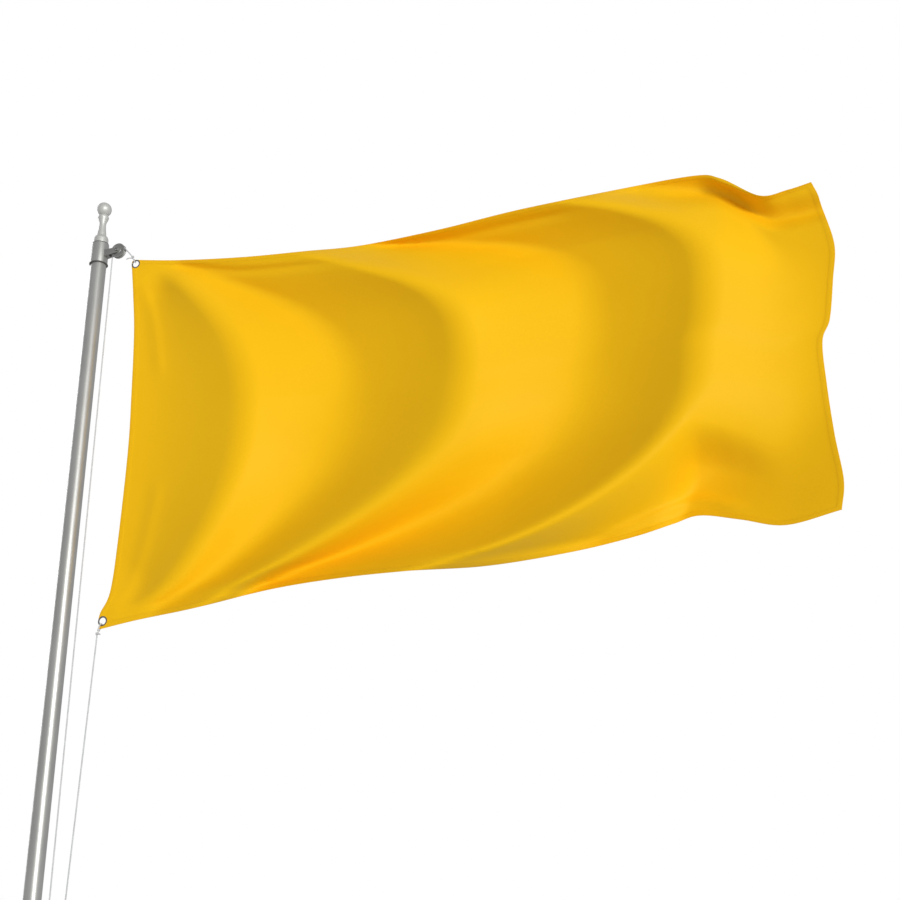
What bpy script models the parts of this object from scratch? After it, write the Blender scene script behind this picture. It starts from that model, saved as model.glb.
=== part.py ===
"""Flag on a sectional aluminium flagpole with an outside halyard.

Metres, +Z up. The origin is the centre of the base plate's underside. +X points from the pole's axis
to the pulley bracket and along the flying flag. Pieces that touch on the real object keep GAP here.
"""

import math

import bmesh
import bpy
import numpy as np
from mathutils import Matrix, Vector

GAP = 0.0003

# Base
PLATE_SIDE = 0.300
PLATE_THICK = 0.012
BOLT_SPACING = 0.220
BOLT_HOLE_R = 0.009
SOCKET_WALL = 0.005
SOCKET_HEIGHT = 0.250
GUSSET_FOOT = 0.070
GUSSET_HEIGHT = 0.130
GUSSET_THICK = 0.008
SOCKET_SCREW_R = 0.005
SOCKET_SCREW_HEIGHTS = (0.190, 0.225)

# Pole
POLE_R = 0.030
POLE_WALL = 0.0025
POLE_TOP = 5.9555
JOINT_Z = 3.050
SPIGOT_LENGTH = 0.300
SPIGOT_WALL = 0.003
POLE_SCREW_R = 0.003
POLE_SCREW_OFFSET = 0.075
ROUND_SIDES = 40

# Cleat
CLEAT_Z = 1.300
CLEAT_LENGTH = 0.190
CLEAT_THICK = 0.014
CLEAT_FOOT_X = 0.008
CLEAT_HORN_X = 0.0305
CLEAT_TOP_X = 0.0405
CLEAT_SCREW_R = 0.0025
CLEAT_SCREW_Z = 0.027

# Truck at the pole's top
COLLAR_WALL = 0.0027
COLLAR_R = POLE_R + GAP + COLLAR_WALL
COLLAR_BOTTOM = POLE_TOP - 0.0785
COLLAR_CAP = 0.006
SEAL_RING_R = COLLAR_R + 0.003
SEAL_RING_HEIGHT = 0.004
TRUCK_SCREW_R = 0.003
TRUCK_SCREW_RISE = 0.016
GASKET_R = COLLAR_R - 0.0015
GASKET_THICK = 0.004

# Pulley
AXLE_X = POLE_R + 0.056
AXLE_Z = POLE_TOP - 0.0345
AXLE_R = 0.004
SHEAVE_R = 0.030
GROOVE_DEPTH = 0.007
GROOVE_R = SHEAVE_R - GROOVE_DEPTH
SHEAVE_WIDTH = 0.016
BUSH_R = AXLE_R + 0.002
WASHER_THICK = 0.0014
WASHER_R = AXLE_R + 0.0045
CHEEK_THICK = 0.0045
CHEEK_END_R = AXLE_R + 0.0065
BRACKET_ROOT_HEIGHT = 0.032
BRACKET_WEB_X = AXLE_X - SHEAVE_R - 0.010
AXLE_HEAD_R = AXLE_R + 0.0025
AXLE_HEAD_THICK = 0.0045

# Finial
SPINDLE_R = 0.005
SPINDLE_NUT_R = SPINDLE_R + 0.004
SPINDLE_NUT_THICK = 0.008
FINIAL_BASE_R = 0.0280
FINIAL_BASE_HEIGHT = 0.0345
STEM_HEIGHT = 0.0933
STEM_TOP = POLE_TOP + COLLAR_CAP + GASKET_THICK + FINIAL_BASE_HEIGHT + 4 * GAP + STEM_HEIGHT
BALL_R = 0.029
BALL_SEAT_R = 0.01243
BALL_Z = STEM_TOP + GAP + math.sqrt(BALL_R**2 - BALL_SEAT_R**2)

# Halyard
ROPE_R = 0.0025
HOIST_X = AXLE_X + 0.067
TOP_KNOT_Z = AXLE_Z - 0.038
KNOT_R = 2.4 * ROPE_R
KNOT_HALF_HEIGHT = 2.8 * ROPE_R
TIE_CLEARANCE = 0.0010
HITCH_START = 1.25 * math.pi
HITCH_END = 3.75 * math.pi
HITCH_REACH_Z = 0.040
HITCH_REACH_Y = 0.016
HITCH_PITCH = 0.0106
HITCH_SWING_X = 0.0153
HITCH_MEAN_X = CLEAT_TOP_X - 0.0133

# Flag
FLAG_THICK = 0.0006
FLAG_REACH = 2.595
GROMMET_SPACING = 1.406
GROMMET_X = HOIST_X + 0.017
GROMMET_TOP_Z = TOP_KNOT_Z - 0.033
GROMMET_BOTTOM_Z = GROMMET_TOP_Z - GROMMET_SPACING
BOTTOM_KNOT_Z = GROMMET_BOTTOM_Z - 0.043
GROMMET_HOLE_R = 0.0125
GROMMET_BARREL_R = GROMMET_HOLE_R + 0.0009
GROMMET_R = GROMMET_HOLE_R + 0.0055
GROMMET_THICK = 0.0030
WAVE_SLOPE = 0.33
STEEPER_TOWARDS_EDGES = 0.8
FLAG_COLUMNS = 40
FLAG_ROWS = 20

# The flag's waves bulge out along lines that fan from this point in front of and below it.
FAN_POINT = np.array((GROMMET_X + 2.506, -3.757, GROMMET_BOTTOM_Z - 0.895))

# The flag's outline seen along +Y: each edge runs smoothly through its own points. A point is given in
# shares, along from the hoist line by FLAG_REACH and up from the lower grommet by GROMMET_SPACING.
TOP_EDGE = (
    (-0.0019, 1.0156), (0.0798, 0.9900), (0.1854, 0.9673), (0.2840, 0.9545), (0.3688, 0.9445),
    (0.4844, 0.9538), (0.5961, 0.9730), (0.7148, 0.9829), (0.8328, 0.9879), (0.8697, 0.9687),
    (0.9160, 0.9061), (0.9507, 0.9090), (0.9807, 0.9196),
)
BOTTOM_EDGE = (
    (-0.0004, -0.0213), (0.0597, -0.0036), (0.1464, 0.0164), (0.2563, 0.0484), (0.3507, 0.0626),
    (0.4447, 0.0669), (0.5499, 0.0640), (0.6566, 0.0804), (0.7329, 0.1031), (0.7815, 0.1252),
    (0.8139, 0.1394), (0.8609, 0.1223), (0.9114, 0.1017), (0.9750, 0.1252),
)
HOIST_EDGE = (
    (-0.0004, -0.0213), (0.0012, 0.0185), (0.0143, 0.0754), (0.0193, 0.2176), (0.0220, 0.4509),
    (0.0193, 0.6088), (0.0143, 0.7866), (0.0066, 0.9075), (-0.0019, 1.0156),
)
FLY_EDGE = (
    (0.9750, 0.1252), (0.9807, 0.1906), (0.9761, 0.2937), (0.9734, 0.4132), (0.9738, 0.5164),
    (0.9850, 0.5676), (0.9938, 0.6643), (1.0000, 0.7511), (0.9900, 0.8535), (0.9869, 0.8862),
    (0.9807, 0.9196),
)

# Lines along which the waving cloth is furthest and nearest in turn, bowed between the hoist's corners:
# place at mid-height, pull and power of the bow in the upper and in the lower half, sharpness, and size.
FOLD_LINES = (
    (0.020, (0.0, 0.0), (1.0, 1.0), 0.0, 1.0),
    (0.188, (0.78, 0.72), (2.4, 2.0), 1.3, 0.75),
    (0.352, (0.84, 0.80), (2.6, 2.2), 0.5, 1.0),
    (0.512, (0.45, 0.68), (3.4, 2.0), 1.2, 1.0),
    (0.690, (0.46, 0.68), (4.4, 2.4), 0.5, 1.0),
    (0.838, (0.20, 0.45), (4.5, 2.9), 1.4, 1.0),
    (0.985, (0.20, 0.28), (3.0, 2.85), 0.1, 0.8),
    (1.150, (0.0, 0.0), (1.0, 1.0), 0.0, 0.4),
)
LINE_SPACING = 0.012
WAVE_EASE = 0.022


def clear_scene():
    """Empty the scene of objects."""
    for old in list(bpy.data.objects):
        bpy.data.objects.remove(old, do_unlink=True)


def finish_material(name, colour, roughness, metallic):
    """A Principled material for one sub-part."""
    material = bpy.data.materials.new(name)
    material.use_nodes = True
    shader = material.node_tree.nodes["Principled BSDF"]
    shader.inputs["Base Color"].default_value = (*colour, 1.0)
    shader.inputs["Roughness"].default_value = roughness
    shader.inputs["Metallic"].default_value = metallic
    return material


FINISHES = {
    "satin": ((0.52, 0.52, 0.50), 0.40, 0.9),
    "cast": ((0.40, 0.40, 0.39), 0.50, 0.8),
    "steel": ((0.35, 0.35, 0.35), 0.30, 1.0),
    "galvanised": ((0.45, 0.46, 0.47), 0.55, 0.9),
    "black_rubber": ((0.05, 0.05, 0.05), 0.70, 0.0),
    "bronze": ((0.45, 0.30, 0.12), 0.35, 1.0),
    "rope": ((0.70, 0.70, 0.72), 0.80, 0.0),
    "yellow_cloth": ((0.95, 0.55, 0.01), 0.70, 0.0),
}


def add_object(name, mesh, finish, place=(0, 0, 0), parent=None):
    """Put a mesh or a curve in the scene as one named sub-part, its own origin at place."""
    obj = bpy.data.objects.new(name, mesh)
    bpy.context.scene.collection.objects.link(obj)
    mesh.materials.append(finish_material(name, *FINISHES[finish]))
    obj.location = place
    if parent is not None:
        obj.parent = parent
        obj.location = Vector(place) - parent.location
    return obj


def mesh_from(bm, name):
    """Close, orient and store a bmesh as a mesh."""
    bmesh.ops.remove_doubles(bm, verts=bm.verts, dist=1e-6)
    bmesh.ops.recalc_face_normals(bm, faces=bm.faces)
    mesh = bpy.data.meshes.new(name)
    bm.to_mesh(mesh)
    bm.free()
    mesh.shade_smooth()
    mesh.set_sharp_from_angle(angle=math.radians(35))
    return mesh


def turned(profile, sides, axis="Z", phase=0.0):
    """Spin a profile of (radius, height) points about an axis.

    A profile whose ends lie on the axis gives a solid, and any other is closed into a ring.
    """
    bm = bmesh.new()
    verts = [bm.verts.new((r, 0.0, h)) for r, h in profile]
    edges = [bm.edges.new(pair) for pair in zip(verts, verts[1:])]
    if profile[0][0] > 0 or profile[-1][0] > 0:
        edges.append(bm.edges.new((verts[-1], verts[0])))
    bmesh.ops.spin(
        bm, geom=verts + edges, cent=(0, 0, 0), axis=(0, 0, 1), angle=math.tau, steps=sides, use_merge=True
    )
    turn = Matrix.Rotation(phase, 4, "Z")
    if axis == "Y":
        turn = Matrix.Rotation(math.radians(-90), 4, "X") @ turn
    if axis == "X":
        turn = Matrix.Rotation(math.radians(90), 4, "Y") @ turn
    bmesh.ops.transform(bm, matrix=turn, verts=bm.verts)
    return bm


def tube_profile(inner, outer, low, high):
    """The section of a plain tube."""
    return ((inner, low), (outer, low), (outer, high), (inner, high))


def rod_profile(radius, low, high):
    """The section of a plain solid rod."""
    return ((0.0, low), (radius, low), (radius, high), (0.0, high))


def block(size, centre):
    """A rectangular block."""
    bm = bmesh.new()
    bmesh.ops.create_cube(bm, size=1.0, matrix=Matrix.Translation(centre) @ Matrix.Diagonal((*size, 1.0)))
    return bm


def extruded(outline, thickness):
    """An (x, z) outline given a thickness along Y, centred on y = 0."""
    bm = bmesh.new()
    face = bm.faces.new([bm.verts.new((x, -thickness / 2, z)) for x, z in outline])
    sweep = bmesh.ops.extrude_face_region(bm, geom=[face])
    moved = [v for v in sweep["geom"] if isinstance(v, bmesh.types.BMVert)]
    bmesh.ops.translate(bm, vec=(0, thickness, 0), verts=moved)
    return bm


def join_into(target, source):
    """Add a copy of one bmesh's solids to another and free it."""
    copy = bpy.data.meshes.new("joined")
    source.to_mesh(copy)
    source.free()
    target.from_mesh(copy)
    bpy.data.meshes.remove(copy)


def group(*solids):
    """Several separate solids as one bmesh."""
    whole = bmesh.new()
    for solid in solids:
        join_into(whole, solid)
    return whole


def moved(bm, matrix):
    """Move a bmesh by a matrix."""
    bmesh.ops.transform(bm, matrix=matrix, verts=bm.verts)
    return bm


def add_copies(name, solids, finish, place=(0, 0, 0)):
    """Put each of several like solids in the scene as its own numbered sub-part."""
    for number, solid in enumerate(solids, start=1):
        label = f"{name}_{number}"
        add_object(label, mesh_from(solid, label), finish, place)


def cut(obj, bm, name):
    """Cut a hidden tool out of an object."""
    tool = bpy.data.objects.new(name, mesh_from(bm, name))
    bpy.context.scene.collection.objects.link(tool)
    tool.hide_render = True
    tool.display_type = "WIRE"
    boolean = obj.modifiers.new(name, "BOOLEAN")
    boolean.operation = "DIFFERENCE"
    boolean.solver = "EXACT"
    boolean.object = tool


def radial(bm, angle, height):
    """Turn a piece made along +X round the pole's axis and lift it."""
    return moved(bm, Matrix.Translation((0, 0, height)) @ Matrix.Rotation(angle, 4, "Z"))


def smooth_line(points, samples):
    """A Catmull-Rom curve through points, sampled evenly in its parameter."""
    p = np.asarray(points, dtype=float)
    padded = np.vstack([2 * p[0] - p[1], p, 2 * p[-1] - p[-2]])
    t = np.linspace(0, len(p) - 1, samples)
    i = np.minimum(t.astype(int), len(p) - 2)
    f = (t - i)[:, None]
    a, b, c, d = (padded[i + k] for k in range(4))
    return 0.5 * (2 * b + (c - a) * f + (2 * a - 5 * b + 4 * c - d) * f**2 + (3 * b - a - 3 * c + d) * f**3)


def rope(name, points, parent=None):
    """A round rope along a line of points."""
    curve = bpy.data.curves.new(name, "CURVE")
    curve.dimensions = "3D"
    curve.bevel_depth = ROPE_R
    curve.bevel_resolution = 2
    curve.use_fill_caps = True
    origin = np.zeros(3) if parent is None else np.array(parent.location)
    spline = curve.splines.new("POLY")
    spline.points.add(len(points) - 1)
    for point, place in zip(spline.points, points):
        point.co = (*(np.asarray(place) - origin), 1.0)
    return add_object(name, curve, "rope", origin, parent)


# ---------------------------------------------------------------- base and pole


def make_base_plate():
    """Square plate with four anchor-bolt holes."""
    bm = block((PLATE_SIDE, PLATE_SIDE, PLATE_THICK), (0, 0, PLATE_THICK / 2))
    plate = add_object("base_plate", mesh_from(bm, "base_plate"), "galvanised")
    half = BOLT_SPACING / 2
    holes = [
        moved(
            turned(rod_profile(BOLT_HOLE_R, -PLATE_THICK, 2 * PLATE_THICK), 24),
            Matrix.Translation((sx * half, sy * half, 0)),
        )
        for sx in (-1, 1)
        for sy in (-1, 1)
    ]
    cut(plate, group(*holes), "bolt_hole_cutter")


def socket_radius():
    """Outer radius of the base socket."""
    return POLE_R + GAP + SOCKET_WALL


def make_base_socket():
    """Upright tube that the pole stands in, with tapped holes for its set screws."""
    low = PLATE_THICK + GAP
    bm = turned(tube_profile(POLE_R + GAP, socket_radius(), low, low + SOCKET_HEIGHT), ROUND_SIDES)
    socket = add_object("base_socket", mesh_from(bm, "base_socket"), "galvanised")
    hole = rod_profile(SOCKET_SCREW_R + GAP, POLE_R / 2, 2 * POLE_R)
    holes = [radial(turned(hole, 16, "X"), math.radians(45), z) for z in SOCKET_SCREW_HEIGHTS]
    cut(socket, group(*holes), "socket_screw_cutter")


def make_gussets():
    """Four triangular webs between plate and socket."""
    start = socket_radius() + GAP
    low = PLATE_THICK + GAP
    outline = (
        (start, low),
        (start + GUSSET_FOOT, low),
        (start + GUSSET_FOOT, low + 0.012),
        (start + 0.012, low + GUSSET_HEIGHT),
        (start, low + GUSSET_HEIGHT),
    )
    webs = [radial(extruded(outline, GUSSET_THICK), math.radians(90 * k), 0) for k in range(4)]
    add_copies("base_gusset", webs, "galvanised")


def make_socket_screws():
    """Set screws that clamp the pole in its socket."""
    start = POLE_R + GAP
    profile = (
        (0.0, start),
        (SOCKET_SCREW_R, start),
        (SOCKET_SCREW_R, start + 0.010),
        (SOCKET_SCREW_R - 0.002, start + 0.010),
        (SOCKET_SCREW_R - 0.002, start + 0.006),
        (0.0, start + 0.006),
    )
    screws = [radial(turned(profile, 16, "X"), math.radians(45), z) for z in SOCKET_SCREW_HEIGHTS]
    add_copies("socket_set_screw", screws, "steel")


def pole_screw_holes(heights):
    """Cutters for the screws that hold a pole section to the spigot."""
    profile = rod_profile(POLE_SCREW_R + GAP, POLE_R / 2, 2 * POLE_R)
    return group(*[radial(turned(profile, 12, "X"), math.radians(a), z) for z in heights for a in (90, 270)])


def make_pole():
    """Two pole sections on an inner spigot, held by four button-head screws."""
    low_screw = JOINT_Z - POLE_SCREW_OFFSET
    high_screw = JOINT_Z + POLE_SCREW_OFFSET
    bore = POLE_R - POLE_WALL
    lower = turned(tube_profile(bore, POLE_R, PLATE_THICK + GAP, JOINT_Z), ROUND_SIDES)
    lower = add_object("pole_lower_section", mesh_from(lower, "pole_lower_section"), "satin")
    cut(lower, pole_screw_holes([low_screw]), "lower_section_cutter")
    upper = turned(tube_profile(bore, POLE_R, JOINT_Z + GAP, POLE_TOP), ROUND_SIDES)
    upper = add_object("pole_upper_section", mesh_from(upper, "pole_upper_section"), "satin")
    cut(upper, pole_screw_holes([high_screw]), "upper_section_cutter")
    half = SPIGOT_LENGTH / 2
    spigot = turned(
        tube_profile(bore - GAP - SPIGOT_WALL, bore - GAP, JOINT_Z - half, JOINT_Z + half), ROUND_SIDES
    )
    spigot = add_object("joint_spigot", mesh_from(spigot, "joint_spigot"), "satin")
    cut(spigot, pole_screw_holes([low_screw, high_screw]), "spigot_cutter")
    inside = bore - SPIGOT_WALL - 0.002
    head = POLE_R + GAP
    profile = (
        (0.0, inside),
        (POLE_SCREW_R, inside),
        (POLE_SCREW_R, head),
        (POLE_SCREW_R * 1.9, head),
        (POLE_SCREW_R * 1.5, head + 0.0025),
        (POLE_SCREW_R * 0.7, head + 0.0033),
        (0.0, head + 0.0033),
    )
    screws = [
        radial(turned(profile, 12, "X"), math.radians(a), z) for z in (low_screw, high_screw) for a in (90, 270)
    ]
    add_copies("joint_screw", screws, "steel")


def make_cleat():
    """Horn cleat whose foot is screwed to the pole, for the halyard."""
    back = POLE_R + GAP
    foot, horn, top = back + CLEAT_FOOT_X, back + CLEAT_HORN_X, back + CLEAT_TOP_X
    tip = CLEAT_LENGTH / 2
    upper = (
        (back, 0.040),
        (foot, 0.040),
        (foot, 0.017),
        (horn - 0.008, 0.014),
        (horn, 0.022),
        (horn + 0.001, 0.060),
        (horn + 0.006, tip - 0.004),
        (horn + 0.010, tip),
        (horn + 0.0145, tip - 0.002),
        (top + 0.001, 0.062),
        (top, 0.020),
    )
    outline = [(x, CLEAT_Z + z) for x, z in upper] + [(x, CLEAT_Z - z) for x, z in reversed(upper)]
    cleat = add_object("cleat", mesh_from(extruded(outline, CLEAT_THICK), "cleat"), "cast")
    hole = rod_profile(CLEAT_SCREW_R + GAP, POLE_R, foot + 0.001)
    holes = [radial(turned(hole, 12, "X"), 0, CLEAT_Z + s * CLEAT_SCREW_Z) for s in (-1, 1)]
    cut(cleat, group(*holes), "cleat_hole_cutter")
    profile = (
        (0.0, back),
        (CLEAT_SCREW_R, back),
        (CLEAT_SCREW_R, foot + GAP),
        (CLEAT_SCREW_R * 1.8, foot + GAP),
        (CLEAT_SCREW_R * 1.3, foot + 0.0018),
        (0.0, foot + 0.0022),
    )
    screws = [radial(turned(profile, 12, "X"), 0, CLEAT_Z + s * CLEAT_SCREW_Z) for s in (-1, 1)]
    add_copies("cleat_screw", screws, "steel")


# ---------------------------------------------------------------- truck and pulley


def collar_top():
    """Height of the truck collar's flat top."""
    return POLE_TOP + GAP + COLLAR_CAP


def make_truck():
    """Collar over the pole's top, with its seal ring and two set screws at the back."""
    inner, outer = POLE_R + GAP, COLLAR_R
    cap = POLE_TOP + GAP
    profile = (
        (SPINDLE_R + GAP, cap),
        (inner, cap),
        (inner, COLLAR_BOTTOM),
        (outer, COLLAR_BOTTOM),
        (outer, collar_top() - 0.0015),
        (outer - 0.0015, collar_top()),
        (SPINDLE_R + GAP, collar_top()),
    )
    collar = add_object("truck_collar", mesh_from(turned(profile, ROUND_SIDES), "truck_collar"), "cast")
    height = COLLAR_BOTTOM + TRUCK_SCREW_RISE
    hole = rod_profile(TRUCK_SCREW_R + GAP, POLE_R / 2, 2 * POLE_R)
    holes = [radial(turned(hole, 12, "X"), math.radians(a), height) for a in (90, 180)]
    cut(collar, group(*holes), "collar_cutter")
    screw = rod_profile(TRUCK_SCREW_R, inner, outer + 0.001)
    screws = [radial(turned(screw, 12, "X"), math.radians(a), height) for a in (90, 180)]
    add_copies("truck_set_screw", screws, "steel")
    top = COLLAR_BOTTOM - GAP
    low = top - SEAL_RING_HEIGHT
    ring = (
        (inner, low),
        (SEAL_RING_R - 0.001, low),
        (SEAL_RING_R, low + 0.0015),
        (SEAL_RING_R, top - 0.0015),
        (SEAL_RING_R - 0.001, top),
        (inner, top),
    )
    add_object("truck_seal_ring", mesh_from(turned(ring, ROUND_SIDES), "truck_seal_ring"), "black_rubber")


def fork_gap():
    """Clear width between the bracket's cheeks."""
    return SHEAVE_WIDTH + 2 * WASHER_THICK + 4 * GAP


def make_bracket():
    """Forked pulley bracket with a saddle that sits on the collar."""
    root = AXLE_Z - 0.006
    low, high = root - BRACKET_ROOT_HEIGHT / 2, root + BRACKET_ROOT_HEIGHT / 2
    ends = [math.radians(a) for a in range(80, -81, -20)]
    nose = [(AXLE_X + CHEEK_END_R * math.cos(a), AXLE_Z + CHEEK_END_R * math.sin(a)) for a in ends]
    outline = [(POLE_R / 2, low), (POLE_R / 2, high), *nose]
    width = fork_gap() + 2 * CHEEK_THICK
    bracket = add_object("pulley_bracket", mesh_from(extruded(outline, width), "pulley_bracket"), "cast")
    saddle = turned(rod_profile(COLLAR_R + GAP, low - 0.01, high + 0.01), ROUND_SIDES)
    length = AXLE_X + 2 * CHEEK_END_R - BRACKET_WEB_X
    slot = block((length, fork_gap(), 0.1), (BRACKET_WEB_X + length / 2, 0, AXLE_Z))
    bore = moved(
        turned(rod_profile(AXLE_R + GAP, -width, width), 16, "Y"), Matrix.Translation((AXLE_X, 0, AXLE_Z))
    )
    cut(bracket, saddle, "saddle_cutter")
    cut(bracket, slot, "fork_cutter")
    cut(bracket, bore, "axle_bore_cutter")


def make_sheave(pivot):
    """Grooved sheave on a bronze bush, both turning about the axle along Y."""
    half = SHEAVE_WIDTH / 2
    rim = half - 0.0025
    profile = (
        (BUSH_R + GAP, -half),
        (SHEAVE_R - 0.001, -half),
        (SHEAVE_R, -half + 0.001),
        (SHEAVE_R, -rim),
        (GROOVE_R + 0.3 * ROPE_R, -0.96 * ROPE_R),
        (GROOVE_R, -0.4 * ROPE_R),
        (GROOVE_R, 0.4 * ROPE_R),
        (GROOVE_R + 0.3 * ROPE_R, 0.96 * ROPE_R),
        (SHEAVE_R, rim),
        (SHEAVE_R, half - 0.001),
        (SHEAVE_R - 0.001, half),
        (BUSH_R + GAP, half),
    )
    centre = (AXLE_X, 0, AXLE_Z)
    add_object("sheave", mesh_from(turned(profile, 32, "Y"), "sheave"), "cast", centre, pivot)
    bush = turned(tube_profile(AXLE_R + GAP, BUSH_R, -half, half), 20, "Y")
    add_object("sheave_bush", mesh_from(bush, "sheave_bush"), "bronze", centre, pivot)


def make_axle():
    """Axle bolt through the cheeks, with its nut and the two side washers."""
    face = fork_gap() / 2 + CHEEK_THICK + GAP
    centre = (AXLE_X, 0, AXLE_Z)
    end = face + 0.0095
    profile = (
        (0.0, -face - AXLE_HEAD_THICK),
        (AXLE_HEAD_R * 0.8, -face - AXLE_HEAD_THICK),
        (AXLE_HEAD_R, -face - AXLE_HEAD_THICK * 0.6),
        (AXLE_HEAD_R, -face),
        (AXLE_R, -face),
        (AXLE_R, end),
        (0.0, end),
    )
    add_object("sheave_axle", mesh_from(turned(profile, 18, "Y"), "sheave_axle"), "steel", centre)
    to_axle = Matrix.Translation(centre)
    nut = moved(turned(rod_profile(AXLE_HEAD_R * 1.08, face, face + 0.0068), 6, "Y"), to_axle)
    nut = add_object("axle_nut", mesh_from(nut, "axle_nut"), "steel")
    cut(nut, moved(turned(rod_profile(AXLE_R + GAP, 0, 2 * face), 18, "Y"), to_axle), "axle_nut_cutter")
    inner = SHEAVE_WIDTH / 2 + GAP
    washers = [
        turned(tube_profile(AXLE_R + GAP, WASHER_R, *sorted((s * inner, s * (inner + WASHER_THICK)))), 20, "Y")
        for s in (-1, 1)
    ]
    add_copies("sheave_washer", washers, "steel", centre)


# ---------------------------------------------------------------- finial


def make_finial():
    """Gasket, moulded base, baluster stem and ball, threaded on one spindle."""
    bore = SPINDLE_R + GAP
    low = collar_top() + GAP
    gasket = turned(tube_profile(bore, GASKET_R, low, low + GASKET_THICK), 40)
    add_object("finial_gasket", mesh_from(gasket, "finial_gasket"), "black_rubber")

    low += GASKET_THICK + GAP
    high = low + FINIAL_BASE_HEIGHT
    base = (
        (bore, low),
        (FINIAL_BASE_R, low),
        (FINIAL_BASE_R, high - 0.014),
        (FINIAL_BASE_R - 0.0030, high - 0.006),
        (FINIAL_BASE_R - 0.0080, high),
        (bore, high),
    )
    add_object("finial_base", mesh_from(turned(base, 24), "finial_base"), "satin")

    low = high + GAP
    rise = STEM_TOP - low
    stem = [
        (bore, low),
        (0.0180, low),
        (0.0170, low + 0.12 * rise),
        (0.0145, low + 0.32 * rise),
        (0.0130, low + 0.50 * rise),
        (0.0145, low + 0.66 * rise),
        (0.0205, low + 0.84 * rise),
        (0.0210, low + 0.90 * rise),
        (0.0190, low + 0.96 * rise),
        (0.0175, STEM_TOP),
        (bore, STEM_TOP),
    ]
    add_object("finial_stem", mesh_from(turned(stem, 24), "finial_stem"), "satin")

    flat = STEM_TOP + GAP
    first = math.acos((BALL_Z - flat) / BALL_R)
    round_side = [
        (BALL_R * math.sin(a), BALL_Z - BALL_R * math.cos(a)) for a in np.linspace(first, math.pi, 13)[:-1]
    ]
    blind = ((bore, BALL_Z + GAP), (bore, flat))
    ball = [(0.0, BALL_Z + GAP), *blind, *round_side, (0.0, BALL_Z + BALL_R)]
    add_object("finial_ball", mesh_from(turned(ball, 24), "finial_ball"), "satin")

    nut_top = POLE_TOP
    nut_low = nut_top - SPINDLE_NUT_THICK
    rod = turned(rod_profile(SPINDLE_R, nut_low - 0.006, BALL_Z), 16)
    add_object("finial_spindle", mesh_from(rod, "finial_spindle"), "steel")
    nut = turned(rod_profile(SPINDLE_NUT_R, nut_low, nut_top), 6)
    nut = add_object("spindle_nut", mesh_from(nut, "spindle_nut"), "steel")
    thread = rod_profile(bore, nut_low - SPINDLE_NUT_THICK, nut_top + SPINDLE_NUT_THICK)
    cut(nut, turned(thread, 16), "spindle_nut_cutter")


# ---------------------------------------------------------------- halyard


def hitch_point(turn):
    """A point of the figure-eight on the cleat: it crosses over the middle and dips under the horns."""
    climb = HITCH_PITCH * (turn - HITCH_START) / math.tau
    return (
        POLE_R + HITCH_MEAN_X + climb + HITCH_SWING_X * math.cos(2 * turn),
        HITCH_REACH_Y * math.sin(2 * turn),
        CLEAT_Z + HITCH_REACH_Z * math.sin(turn),
    )


def rope_line_radius():
    """Distance from the axle to the middle of the rope in the groove."""
    return GROOVE_R + GAP + ROPE_R


def lead_direction():
    """Unit direction in the XZ plane from the sheave to the top knot, tangent to the rope's circle."""
    reach = np.array((HOIST_X - AXLE_X, TOP_KNOT_Z - AXLE_Z))
    distance = float(np.hypot(*reach))
    bearing = math.atan2(reach[1], reach[0]) - math.asin(rope_line_radius() / distance)
    return np.array((math.cos(bearing), math.sin(bearing)))


def lead_start():
    """Where the rope leaves the sheave for the flag."""
    along = lead_direction()
    outward = np.array((-along[1], along[0])) * rope_line_radius()
    return np.array((AXLE_X + outward[0], 0.0, AXLE_Z + outward[1]))


def make_halyard_run():
    """From the hitch up the pole, over the sheave, to where it leaves for the flag."""
    start = np.array(hitch_point(HITCH_START))
    sheave_side = np.array((AXLE_X - rope_line_radius(), 0.0, AXLE_Z))
    entry = [
        start,
        start + (0.0022, 0.0002, 0.0024),
        start + (0.0034, 0.0020, 0.014),
        start + (0.0020, 0.0064, 0.042),
        start + (0.0015, 0.0066, 0.075),
        start + (0.0010, 0.0060, 0.130),
    ]
    run_start = entry[-1]
    straight = [run_start + (sheave_side - run_start) * f for f in (0.08, 0.25, 0.50, 0.75, 0.92)]
    climb = smooth_line([*entry, *straight, sheave_side], 40)
    last = math.atan2(lead_start()[2] - AXLE_Z, lead_start()[0] - AXLE_X)
    over = [
        (AXLE_X + rope_line_radius() * math.cos(a), 0.0, AXLE_Z + rope_line_radius() * math.sin(a))
        for a in np.linspace(math.pi, last, 12)[1:]
    ]
    rope("halyard_run", [*climb, *over])


def make_halyard_hitch():
    """The figure-eight turns on the cleat."""
    shrink = 0.02
    turns = np.linspace(HITCH_START + shrink, HITCH_END - shrink, 56)
    rope("halyard_hitch", [hitch_point(t) for t in turns])


def make_halyard_lead(hoist):
    """The short rope from the sheave to the top knot."""
    along = lead_direction()
    step = np.array((along[0], 0.0, along[1]))
    start = lead_start() + step * GAP
    knot = np.array((HOIST_X, 0.0, TOP_KNOT_Z))
    end = knot - step * (KNOT_HALF_HEIGHT + GAP)
    rope("halyard_lead", [start + (end - start) * f for f in np.linspace(0, 1, 7)], hoist)


def make_halyard_fall(hoist):
    """The long rope from the bottom knot down to the cleat."""
    end = np.array(hitch_point(HITCH_END))
    top = np.array((HOIST_X, 0.0, BOTTOM_KNOT_Z - KNOT_HALF_HEIGHT - GAP))
    exits = [
        end,
        end + (0.0030, -0.0001, 0.0032),
        end + (0.0055, -0.0020, 0.012),
        end + (0.0075, -0.0045, 0.032),
        end + (0.0095, -0.0045, 0.075),
        end + (0.0105, -0.0020, 0.140),
    ]
    straight = [exits[-1] + (top - exits[-1]) * f for f in (0.10, 0.30, 0.55, 0.80)]
    rope("halyard_fall", smooth_line([*exits, *straight, top], 44), hoist)


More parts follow.
